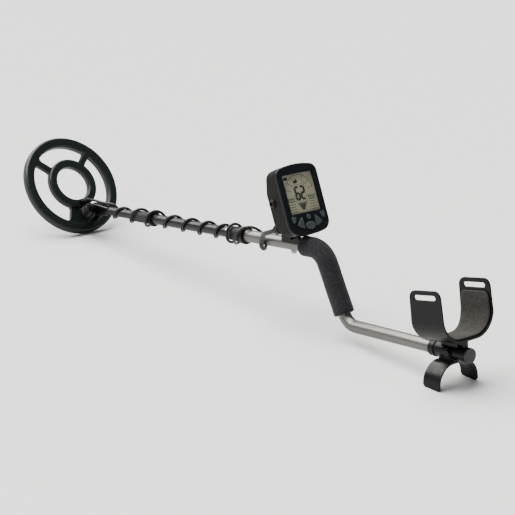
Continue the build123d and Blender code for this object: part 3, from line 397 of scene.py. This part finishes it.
def board_green():
    surface = Surface("board_green", (0.0084, 0.0630, 0.0280), 0.3)
    tracks = surface.cells(4.0, "DISTANCE_TO_EDGE")
    surface.mottle(tracks, 0.06, 0.04, 0.6, (0.0210, 0.119, 0.0490))
    surface.bump(tracks, 0.02)
    return surface


def component_black():
    return moulded("component_black", (0.0048, 0.0048, 0.0048), 0.45, 0.4, 0.02)


def battery_case():
    surface = Surface("battery_case", (0.0350, 0.0385, 0.0490), 0.28, 0.8)
    surface.roughen(surface.noise(5.0, 4.0), 0.22, 0.4)
    surface.bump(surface.noise(8.0, 2.0), 0.05)
    return surface


def steel():
    """Zinc-plated steel with a slight yellow cast in patches."""
    surface = Surface("steel", (0.33, 0.33, 0.324), 0.32, 1.0)
    surface.mottle(surface.noise(3.0, 4.0), 0.45, 0.65, 0.5, (0.252, 0.24, 0.216))
    surface.roughen(surface.noise(1.2, 3.0), 0.24, 0.42)
    surface.bump(surface.noise(0.4, 2.0), 0.01)
    return surface


def bush_nylon():
    return moulded("bush_nylon", (0.372, 0.366, 0.336), 0.5, 0.8, 0.02)


def copper_wire():
    surface = Surface("copper_wire", (0.434, 0.168, 0.0560), 0.3, 1.0)
    strands = surface.noise(0.4, 1.0)
    surface.mottle(strands, 0.4, 0.6, 0.5, (0.245, 0.0840, 0.0280))
    surface.bump(strands, 0.1)
    return surface


def connector_black():
    worn = (0.0132, 0.0132, 0.0150)
    return moulded("connector_black", (0.0030, 0.0030, 0.0036), 0.28, 0.8, 0.02, worn)


surfaces = {
    make.__name__: make()
    for make in (
        coil_plastic,
        black_gloss,
        stem_black,
        collar_plastic,
        bush_nylon,
        bare_aluminium,
        cable_jacket,
        cable_boot,
        foam,
        sleeve_plastic,
        cap_plastic,
        pad_felt,
        housing_olive,
        bezel_navy,
        key_rubber,
        gasket_rubber,
        window_glass,
        lcd,
        board_green,
        component_black,
        battery_case,
        steel,
        copper_wire,
        connector_black,
    )
}


def dress(piece, surface_name):
    piece.data.materials.clear()
    piece.data.materials.append(surfaces[surface_name].material)


for entry in frame["record"]["subparts"]:
    dress(nodes[entry["node"]], entry["material_slot"])


# ---- Making pieces ----
def piece_from(name, points, faces, surface_name, smooth=True):
    mesh = bpy.data.meshes.new(name)
    mesh.from_pydata([tuple(point) for point in points], [], faces)
    shell = bmesh.new()
    shell.from_mesh(mesh)
    bmesh.ops.recalc_face_normals(shell, faces=shell.faces)
    shell.to_mesh(mesh)
    shell.free()
    mesh.polygons.foreach_set("use_smooth", [smooth] * len(mesh.polygons))
    piece = bpy.data.objects.new(name, mesh)
    bpy.context.scene.collection.objects.link(piece)
    dress(piece, surface_name)
    return piece


def ring_faces(rings, sides, closed):
    """Quads between neighbouring rings of points, round to the first ring again if closed."""
    faces = []
    for ring in range(rings if closed else rings - 1):
        following = (ring + 1) % rings
        for side in range(sides):
            beside = (side + 1) % sides
            faces.append(
                (
                    ring * sides + side,
                    ring * sides + beside,
                    following * sides + beside,
                    following * sides + side,
                )
            )
    return faces


# ---- Foam grip ----
GRIP_RADIUS = 18.25
GRIP_BORE = 11.3
GRIP_FRONT = -47.0
GRIP_BEND_RADIUS = 40.0
REAR_BEND_RADIUS = 30.0
GRIP_LIP = 3.2
GRIP_GAP = 0.1  # between the grip's end and the rear bend
GRIP_SIDES = 84
BODY_RINGS, BORE_RINGS = 190, 40
FOLD_DEPTH, FOLD_LENGTH = 0.55, 1.25  # wrinkles that the bend squeezes into its inside
FOLD_REACH = 17.0  # how far they spread from the middle of the bend
FOLD_LOBES, FOLD_WAVER = 3, 1.5  # how they waver round the grip
UNEVEN = ((0.35, 45), (0.16, 190))  # depth in millimetres, and how often a metre
bend_tangent = GRIP_BEND_RADIUS * math.tan(math.radians(GRIP_SLOPE / 2))
bend_run = GRIP_BEND_RADIUS * math.radians(GRIP_SLOPE)
straight_in = -bend_tangent - GRIP_FRONT
foot_tangent = REAR_BEND_RADIUS * math.tan(math.radians((GRIP_SLOPE - REAR_SLOPE) / 2))
straight_out = GRIP_LENGTH - foot_tangent - GRIP_GAP - bend_tangent
grip_run = straight_in + bend_run + straight_out


def grip_line(distance):
    """Centre (x, z) and slope of the grip's tube at a distance from its front end."""
    if distance < straight_in:
        return GRIP_FRONT + distance, 0.0, 0.0
    turned = min((distance - straight_in) / GRIP_BEND_RADIUS, math.radians(GRIP_SLOPE))
    x = -bend_tangent + GRIP_BEND_RADIUS * math.sin(turned)
    z = -GRIP_BEND_RADIUS * (1 - math.cos(turned))
    slope = math.degrees(turned)
    beyond = max(0.0, distance - straight_in - bend_run)
    return x + beyond * cos(slope), z - beyond * sin(slope), slope


def grip_outline():
    """Closed profile of (distance, radius): outside, lips at both ends, and the bore."""
    lips = [(GRIP_LIP * (1 - cos(turn)), GRIP_LIP * (1 - sin(turn))) for turn in range(0, 91, 15)]
    outline = [(step, GRIP_RADIUS - drop) for step, drop in lips]
    body = np.linspace(GRIP_LIP, grip_run - GRIP_LIP, BODY_RINGS)[1:-1]
    outline += [(step, GRIP_RADIUS) for step in body]
    outline += [(grip_run - step, GRIP_RADIUS - drop) for step, drop in reversed(lips)]
    outline += [(step, GRIP_BORE) for step in np.linspace(grip_run, 0, BORE_RINGS)]
    return outline


def foam_sink(distance, angle, spot):
    """How far the foam's skin lies below the full radius."""
    from_middle = (distance - straight_in - 0.5 * bend_run) / FOLD_REACH
    inside = max(0.0, -cos(angle)) ** 2
    waver = FOLD_WAVER * sin(FOLD_LOBES * angle)
    folds = 0.5 + 0.5 * math.sin(distance / FOLD_LENGTH + waver)
    sink = FOLD_DEPTH * math.exp(-(from_middle**2)) * inside * folds
    for depth, rate in UNEVEN:
        sink += depth * (0.5 + noise.noise(spot * rate))
    return sink


def make_grip():
    points = []
    outline = grip_outline()
    for distance, radius in outline:
        x, z, slope = grip_line(distance)
        centre = at(x, z)
        outward = heading(90 - slope)
        for side in range(GRIP_SIDES):
            angle = 360 * side / GRIP_SIDES
            spoke = outward * cos(angle) + left * sin(angle)
            reach = radius
            if radius > GRIP_BORE + 1:
                reach -= foam_sink(distance, angle, centre + spoke * (radius * MM))
            points.append(centre + spoke * (reach * MM))
    grip = piece_from("grip_sleeve", points, ring_faces(len(outline), GRIP_SIDES, True), "foam")
    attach(grip, "handle")
    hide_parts("foam_grip")


make_grip()

# ---- Armrest pad ----
PAD_MIDDLE = 5.6  # from the cradle's underside to the middle of the pad
PAD_THICK = 4.0
PAD_HALF = 52.9
PAD_CURVE = 36.4
PAD_TOP = 70.0
PAD_CORNER = 12.0
# height, front edge, back edge
PAD_EDGES = [(0.0, 9.0, 65.0), (34.0, 4.0, 67.5), (70.0, 5.0, 67.0)]
PAD_ROWS, PAD_COLUMNS = 190, 68
RIM_ROUND = 1.9  # how far in from the rim the felt reaches its thickness
RIM_SHARE = 0.1  # the share of it that is left at the rim
RIM_STILL = 0.2  # points nearer to the rim than this have no fuzz
PRESS_AT, PRESS_HALF, PRESS_DEPTH = 2.6, 1.1, 0.25  # groove pressed along the rim
BORDER_WIDTH = 2.4
FUZZ, FUZZ_RATES = 0.25, (320, 90)  # depth in millimetres, and how often a metre
FACE_SHIFT = 0.15  # both faces lie this much nearer to the cradle


def pad_line(distance):
    """Centre line of the trough from its lowest point: (to the right, up) and its normal."""
    flat = PAD_HALF - PAD_CURVE
    quarter = math.pi / 2 * PAD_CURVE
    hand = math.copysign(1, distance)
    along = abs(distance)
    if along < flat:
        return distance, PAD_MIDDLE, 0.0, 1.0
    if along < flat + quarter:
        turned = (along - flat) / PAD_CURVE
        right = flat + PAD_CURVE * math.sin(turned)
        up = PAD_MIDDLE + PAD_CURVE * (1 - math.cos(turned))
        return hand * right, up, -hand * math.sin(turned), math.cos(turned)
    return hand * PAD_HALF, PAD_MIDDLE + PAD_CURVE + along - flat - quarter, -hand, 0.0


def pad_edge(up):
    """Front and back edges of the pad at a height, with rounded upper corners."""
    heights, fronts, backs = zip(*PAD_EDGES)
    past = max(0.0, up - (PAD_TOP - PAD_CORNER))
    corner = PAD_CORNER - math.sqrt(max(0.0, PAD_CORNER**2 - past**2))
    return np.interp(up, heights, fronts) + corner, np.interp(up, heights, backs) - corner


def felt_lift(face, rim, spot):
    """How far a face of the felt (1 inside, -1 outside) lies from its middle, towards the arm."""
    swell = math.sqrt(max(0.0, 1 - (1 - min(1.0, rim / RIM_ROUND)) ** 2))
    lift = face * 0.5 * PAD_THICK * (RIM_SHARE + (1 - RIM_SHARE) * swell)
    fuzz = 0.0
    if face > 0:
        lift -= PRESS_DEPTH * max(0.0, 1 - abs(rim - PRESS_AT) / PRESS_HALF)
        fuzz = FUZZ * sum(noise.noise(spot * rate) for rate in FUZZ_RATES)
    if rim > RIM_STILL:
        lift += swell * (fuzz - FACE_SHIFT)
    return lift


def pad_faces():
    """Quads of both faces of the pad, and of the rim that joins them."""
    rows, columns = PAD_ROWS, PAD_COLUMNS
    faces = []
    layer = rows * columns
    for row in range(rows - 1):
        for column in range(columns - 1):
            corner = row * columns + column
            quad = (corner, corner + 1, corner + columns + 1, corner + columns)
            faces.append(quad)
            faces.append(tuple(layer + index for index in reversed(quad)))
    rim_loop = list(range(columns))
    rim_loop += [row * columns + columns - 1 for row in range(1, rows)]
    rim_loop += [(rows - 1) * columns + column for column in range(columns - 2, -1, -1)]
    rim_loop += [row * columns for row in range(rows - 2, 0, -1)]
    for first, second in zip(rim_loop, rim_loop[1:] + rim_loop[:1]):
        faces.append((first, first + layer, second + layer, second))
    return faces


def make_pad():
    rise = PAD_TOP - PAD_MIDDLE - PAD_CURVE
    half_run = PAD_HALF - PAD_CURVE + math.pi / 2 * PAD_CURVE + rise
    # steps crowd towards the rim, so that it rounds smoothly
    down = [half_run * math.sin(math.pi / 2 * t) for t in np.linspace(-1, 1, PAD_ROWS)]
    over = [0.5 - 0.5 * math.cos(math.pi * t) for t in np.linspace(0, 1, PAD_COLUMNS)]
    points, border = [], []
    for face in (1, -1):
        for distance in down:
            right, up, across, rising = pad_line(distance)
            front, back = pad_edge(up)
            for share in over:
                along = front + (back - front) * share
                rim = min(half_run - abs(distance), along - front, back - along)
                lift = felt_lift(face, rim, cradle_point(along, right, up))
                points.append(cradle_point(along, right + across * lift, up + rising * lift))
                border.append(1 - min(1.0, rim / BORDER_WIDTH))
    pad = piece_from("forearm_pad", points, pad_faces(), "pad_felt")
    shade = pad.data.attributes.new("border", "FLOAT", "POINT")
    shade.data.foreach_set("value", border)
    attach(pad, "handle")
    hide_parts("armrest_pad")


make_pad()

# ---- Coil cable ----
# The route's corners are those of the CAD cable: back along the stem, up, left.
LEAD_POINTS = [
    (-687.3, 16.3, 0.0),
    (-667.5, 16.0, 0.0),
    (-653.0, 16.2, 0.3),
    (-637.0, 14.4, 0.5),
    (-621.0, 13.8, -2.5),
    (-606.5, 11.8, -9.5),
    (-598.0, 1.0, -13.4),
    (-594.5, -8.4, -10.2),
]
# where each turn round the stem starts, under it
TURN_MARKS = [-595.0, -537.0, -487.0, -437.0, -382.0, -333.0, -286.0, -240.0, -229.0, -150.0]
POINTS_A_TURN = 8
# distance along the stem, and from its axis to the middle of the cable
WINDING_RADII = [
    (-606.0, 11.1),
    (-539.0, 11.1),
    (-532.0, 14.3),
    (-486.0, 14.3),
    (-478.0, 17.3),
    (-465.0, 17.3),
    (-452.0, 12.5),
    (-254.0, 12.5),
    (-243.0, 16.5),
    (-216.0, 18.0),
    (-210.0, 19.4),
    (-197.0, 19.4),
    (-184.0, 14.3),
    (-170.0, 15.6),
    (-100.0, 15.6),
]
BOOT_POINTS = [
    (-149.0, -18.0, 4.0),
    (-145.5, -10.5, 14.5),
    (-139.0, 2.5, 18.0),
    (-130.0, 12.0, 22.0),
    (-117.5, 18.5, 28.5),
]
PLUG_ACROSS, PLUG_UP = -33.0, -51.0
PLUG_OUTS = (-71.0, -58.8)  # the boot's last stretch, straight into the plug
CABLE_RADIUS, CABLE_SIDES = 2.5, 20
BOOT_RADIUS, BOOT_SIDES = 4.3, 28
CABLE_STEPS, BOOT_STEPS = 10, 16
NOSE_RINGS = 9
# The cable's spans meet where it starts on the lower stem and in front of each collar.
LEAD_CORNERS = len(LEAD_POINTS) - 3
LOWER_TURNS, MIDDLE_TURNS = 1, 6


def winding_corner(turns):
    """Corner of the cable's route after so many turns from the first mark."""
    mark = min(int(turns), len(TURN_MARKS) - 2)
    x = TURN_MARKS[mark] + (turns - mark) * (TURN_MARKS[mark + 1] - TURN_MARKS[mark])
    reach = np.interp(x, *zip(*WINDING_RADII)) / cos(180 / POINTS_A_TURN)
    angle = 360 * (turns - mark)
    return at(x, -reach * cos(angle), reach * sin(angle))


def smooth_line(corners, steps):
    """Points along the smooth curve that these corners control."""
    curve = bpy.data.curves.new("route", "CURVE")
    curve.dimensions = "3D"
    curve.resolution_u = steps
    spline = curve.splines.new("NURBS")
    spline.points.add(len(corners) - 1)
    for point, corner in zip(spline.points, corners):
        point.co = (*corner, 1)
    spline.order_u = 3
    spline.use_endpoint_u = True
    holder = bpy.data.objects.new("route", curve)
    bpy.context.scene.collection.objects.link(holder)
    mesh = bpy.data.meshes.new_from_object(holder)
    line = [vertex.co.copy() for vertex in mesh.vertices]
    bpy.data.objects.remove(holder)
    bpy.data.curves.remove(curve)
    bpy.data.meshes.remove(mesh)
    return line


def tube_points(line, radii, sides):
    """Rings of points round a line, turned with it and never twisted."""
    rings = []
    spoke = left
    for index, point in enumerate(line):
        ahead = line[min(index + 1, len(line) - 1)] - line[max(index - 1, 0)]
        ahead.normalize()
        spoke = (spoke - ahead * spoke.dot(ahead)).normalized()
        beside = ahead.cross(spoke)
        reach = radii[index] * MM
        rings.append(
            [
                point + reach * (spoke * cos(360 * side / sides) + beside * sin(360 * side / sides))
                for side in range(sides)
            ]
        )
    return rings


def tube_piece(name, rings, surface_name):
    sides = len(rings[0])
    points = [point for ring in rings for point in ring]
    faces = ring_faces(len(rings), sides, False)
    faces.append(tuple(range(sides)))
    faces.append(tuple((len(rings) - 1) * sides + side for side in range(sides)))
    return piece_from(name, points, faces, surface_name)


def distance_back(point):
    return (point - bend).dot(stem_back) / MM


def make_boot(start):
    """The thicker end of the cable, which starts in a short rounded nose."""
    corners = [at(*point) for point in BOOT_POINTS]
    corners += [face_point(PLUG_ACROSS, PLUG_UP, out) for out in PLUG_OUTS]
    line = smooth_line([start] + corners, BOOT_STEPS)
    radii = []
    for index in range(len(line)):
        nose = min(1.0, index / NOSE_RINGS)
        radii.append(CABLE_RADIUS + (BOOT_RADIUS - CABLE_RADIUS) * math.sin(nose * math.pi / 2))
    boot = tube_piece("boot_sleeve", tube_points(line, radii, BOOT_SIDES), "cable_boot")
    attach(boot, "handle")
    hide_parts("cable_boot")


def make_cable():
    turns = len(TURN_MARKS) - 1
    corners = [at(*point) for point in LEAD_POINTS]
    corners += [winding_corner(step / POINTS_A_TURN) for step in range(turns * POINTS_A_TURN)]
    boot_start = 0.5 * (corners[-1] + at(*BOOT_POINTS[0]))
    line = smooth_line(corners + [boot_start], CABLE_STEPS)
    rings = tube_points(line, [CABLE_RADIUS] * len(line), CABLE_SIDES)

    def ring_at(corner):
        spot = 0.5 * (corners[corner] + corners[corner + 1])
        return min(range(len(line)), key=lambda index: (line[index] - spot).length)

    lead_end = ring_at(LEAD_CORNERS)
    lower_end = ring_at(len(LEAD_POINTS) + LOWER_TURNS * POINTS_A_TURN)
    middle_end = ring_at(len(LEAD_POINTS) + MIDDLE_TURNS * POINTS_A_TURN)
    lead = tube_piece("lead_jacket", rings[: lead_end + 1], "cable_jacket")
    lower = tube_piece("lower_jacket", rings[lead_end : lower_end + 1], "cable_jacket")
    middle = tube_piece("middle_jacket", rings[lower_end : middle_end + 1], "cable_jacket")
    upper = tube_piece("upper_jacket", rings[middle_end:], "cable_jacket")
    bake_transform(lead)
    at(distance_back(line[lower_end]), 0)
    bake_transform(lower)
    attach(middle, "middle_tube")
    at(distance_back(line[middle_end]), 0)
    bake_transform(upper)
    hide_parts("cable_coil_lead")
    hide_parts("cable_lower_wrap")
    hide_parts("cable_middle_wrap")
    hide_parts("cable_upper_wrap")
    make_boot(boot_start)


make_cable()

# ---- Display contents ----
PRINT_LOW, PRINT_HIGH = -1.59, -1.50  # how far out of the face the printed shapes start and end
DEGREES_A_STEP = 6
SEGMENT_GAP = 0.2  # from the corner of a figure to the tip of a segment
SEGMENT_SLOPE = 0.2  # run of a segment's pointed end, over its thickness


class Print:
    """Thin shapes lying on the display, drawn as outlines of (across, up)."""

    def __init__(self):
        self.points, self.faces = [], []

    def shape(self, outline):
        start, count = len(self.points), len(outline)
        for out in (PRINT_LOW, PRINT_HIGH):
            self.points += [face_point(across, up, out) for across, up in outline]
        self.faces.append(tuple(range(start, start + count)))
        self.faces.append(tuple(range(start + 2 * count - 1, start + count - 1, -1)))
        for index in range(count):
            beside = (index + 1) % count
            low, next_low = start + index, start + beside
            self.faces.append((low, low + count, next_low + count, next_low))

    def bar(self, across, up, width, height, slant=0.0):
        wide, high = width / 2, height / 2
        self.shape(
            [
                (across - wide, up - high),
                (across + wide, up - high),
                (across + wide + slant, up + high),
                (across - wide - slant, up + high),
            ]
        )

    def stroke(self, start, end, width):
        first, last = Vector(start), Vector(end)
        run = last - first
        beside = Vector((-run.y, run.x)).normalized() * width / 2
        outline = (first - beside, last - beside, last + beside, first + beside)
        self.shape([tuple(point) for point in outline])

    def frame(self, low, high, width):
        """Outline of the box between two opposite corners."""
        for side in (low[0], high[0]):
            self.stroke((side, low[1]), (side, high[1]), width)
        for level in (high[1], low[1]):
            self.stroke((low[0], level), (high[0], level), width)

    def arc(self, centre, radius, first, last, width):
        steps = max(2, int((last - first) / DEGREES_A_STEP))
        angles = [first + (last - first) * step / steps for step in range(steps + 1)]
        near, far = radius - width / 2, radius + width / 2
        for a, b in zip(angles, angles[1:]):
            corners = ((near, a), (far, a), (far, b), (near, b))
            self.shape([polar(centre, reach, angle) for reach, angle in corners])

    def digit(self, lit, centre, width, height, thick):
        """One seven-segment figure. lit names its segments a to g, clockwise from the top."""
        wide, high = width / 2, height / 2
        ends = {
            "a": ((-wide, high), (wide, high)),
            "b": ((wide, high), (wide, 0)),
            "c": ((wide, 0), (wide, -high)),
            "d": ((-wide, -high), (wide, -high)),
            "e": ((-wide, 0), (-wide, -high)),
            "f": ((-wide, high), (-wide, 0)),
            "g": ((-wide, 0), (wide, 0)),
        }
        for name in lit:
            first, last = (Vector(centre) + Vector(end) for end in ends[name])
            run = (last - first).normalized()
            beside = Vector((-run.y, run.x)) * thick / 2
            first, last = first + run * SEGMENT_GAP, last - run * SEGMENT_GAP
            slope = run * thick * SEGMENT_SLOPE
            outline = (
                first,
                first + slope - beside,
                last - slope - beside,
                last,
                last - slope + beside,
                first + slope + beside,
            )
            self.shape([tuple(point) for point in outline])

    def piece(self, name, ink):
        made = piece_from(name, self.points, self.faces, "component_black", smooth=False)
        made.data.materials.clear()
        made.data.materials.append(ink.material)
        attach(made, "handle")


def polar(centre, reach, angle):
    return centre[0] + reach * cos(angle), centre[1] + reach * sin(angle)


def draw_battery(ink):
    ink.bar(-26.0, 28.2, 7.8, 4.6)
    ink.bar(-21.5, 28.2, 1.4, 2.4)


def draw_target_scale(ink):
    """An arc in six sectors, a shorter one inside it, and a pointer instead of the middle line."""
    hub, reach, inner = (0.0, 1.6), 31.0, 19.8
    first, last, sectors = 13, 167, 6
    ink.arc(hub, reach, first, last, 0.8)
    ink.arc(hub, inner, 38, 62, 0.7)
    for step in range(sectors + 1):
        angle = first + step * (last - first) / sectors
        if step != sectors // 2:
            ink.stroke(polar(hub, inner, angle), polar(hub, reach, angle), 0.8)
    ink.shape([(-9.6, 17.6), (-0.6, 18.8), (-1.4, 26.0), (-4.6, 23.4), (-9.2, 22.6)])


def draw_figures(ink):
    ink.frame((-12.6, -15.6), (12.0, 15.4), 0.5)
    ink.digit("acdefg", (-6.2, 0.2), 7.4, 21.6, 3.9)
    ink.digit("abdeg", (5.6, 0.2), 7.4, 21.6, 3.9)


def draw_depth_scale(ink):
    for width, up in ((19.0, -18.4), (14.8, -21.0), (11.0, -23.5), (7.6, -25.9), (4.6, -28.2)):
        ink.bar(-0.6, up, width, 2.05, slant=0.9)


def draw_menus(ink, faint_ink):
    """Two columns of lines as plain dashes, with the first line picked out by a frame."""
    dashes = random.Random(11)
    first_row, row_step, rows, dark_rows = -8.0, 4.6, 6, 2
    row_start, row_end, gap = -6.6, 5.0, 0.6
    for across in (-23.0, 23.0):
        for row in range(rows):
            up = first_row - row_step * row
            pen, height = (ink, 1.7) if row < dark_rows else (faint_ink, 1.1)
            start = across + row_start
            while start < across + row_end:
                width = dashes.uniform(1.3, 3.4)
                pen.bar(start + width / 2, up, width, height)
                start += width + gap
        for up in (-5.6, -10.4):
            ink.bar(across, up, 14.6, 0.6)
        for side in (-7.2, 7.2):
            ink.bar(across + side, first_row, 0.6, 4.9)


def make_display():
    dark, faint = Print(), Print()
    draw_battery(dark)
    draw_target_scale(dark)
    draw_figures(dark)
    draw_depth_scale(dark)
    draw_menus(dark, faint)
    dark.piece("display_figures", lcd_ink())
    faint.piece("display_lines", lcd_faint_ink())


make_display()

# ---- Camera ----
CAMERA_PLACE = Vector((2.5422, -2.1961, 1.1649))
CAMERA_AHEAD = Vector((-0.7126, 0.6296, -0.3096)).normalized()
CAMERA_UP = Vector((-0.2538, 0.1799, 0.9503))
CAMERA_LENS, CAMERA_SENSOR = 137.1, 36.0
VIEW_REACH = 100.0  # metres


def make_camera():
    data = bpy.data.cameras.new("camera")
    data.lens = CAMERA_LENS
    data.sensor_width = CAMERA_SENSOR
    data.clip_end = VIEW_REACH
    camera = bpy.data.objects.new("camera", data)
    bpy.context.scene.collection.objects.link(camera)
    to_right = CAMERA_AHEAD.cross(CAMERA_UP).normalized()
    upright = to_right.cross(CAMERA_AHEAD)
    turned = Matrix((to_right, upright, -CAMERA_AHEAD)).transposed().to_4x4()
    camera.matrix_world = Matrix.Translation(CAMERA_PLACE) @ turned
    bpy.context.scene.camera = camera


make_camera()

# ---- Studio ----
# Sizes and places here are in metres, and powers in watts.
FLOOR_HALF = 40.0
FLOOR_CLOUDS = 900.0  # millimetres
SKY_COLOUR, SKY_STRENGTH = (0.96, 0.98, 1.0, 1), 0.28
CEILING_STRENGTH, CEILING_COLOUR, CEILING_SPREAD = 13.0, (1.0, 0.985, 0.96), 72
CEILING_TURN = (10, -30, 0)
KEY_PLACE, KEY_AIM, KEY_SIZE, KEY_POWER = (0.4, -2.4, 1.5), (0.1, 0, 0.15), 1.2, 16


def make_floor():
    far = FLOOR_HALF
    corners = [(-far, -far, 0), (far, -far, 0), (far, far, 0), (-far, far, 0)]
    mesh = bpy.data.meshes.new("floor")
    mesh.from_pydata(corners, [], [(0, 1, 2, 3)])
    floor = bpy.data.objects.new("floor", mesh)
    bpy.context.scene.collection.objects.link(floor)
    surface = Surface("floor", (0.56, 0.56, 0.56), 0.95)
    surface.set("Specular IOR Level", 0.1)
    surface.mottle(surface.noise(FLOOR_CLOUDS, 2.0), 0.3, 0.7, 0.3, (0.55, 0.55, 0.553))
    floor.data.materials.append(surface.material)


def make_sky():
    world = bpy.data.worlds.new("studio")
    world.use_nodes = True
    background = world.node_tree.nodes["Background"].inputs
    background["Color"].default_value = SKY_COLOUR
    background["Strength"].default_value = SKY_STRENGTH
    bpy.context.scene.world = world


def lamp(name, kind):
    made = bpy.data.objects.new(name, bpy.data.lights.new(name, kind))
    bpy.context.scene.collection.objects.link(made)
    return made


def make_lights():
    ceiling = lamp("ceiling", "SUN")
    ceiling.data.energy = CEILING_STRENGTH
    ceiling.data.angle = math.radians(CEILING_SPREAD)
    ceiling.data.color = CEILING_COLOUR
    ceiling.rotation_euler = [math.radians(turn) for turn in CEILING_TURN]
    key = lamp("key", "AREA")
    key.data.size = KEY_SIZE
    key.data.energy = KEY_POWER
    key.location = KEY_PLACE
    aim = Vector(KEY_AIM) - Vector(KEY_PLACE)
    key.rotation_euler = aim.to_track_quat("-Z", "Y").to_euler()


make_floor()
make_sky()
make_lights()
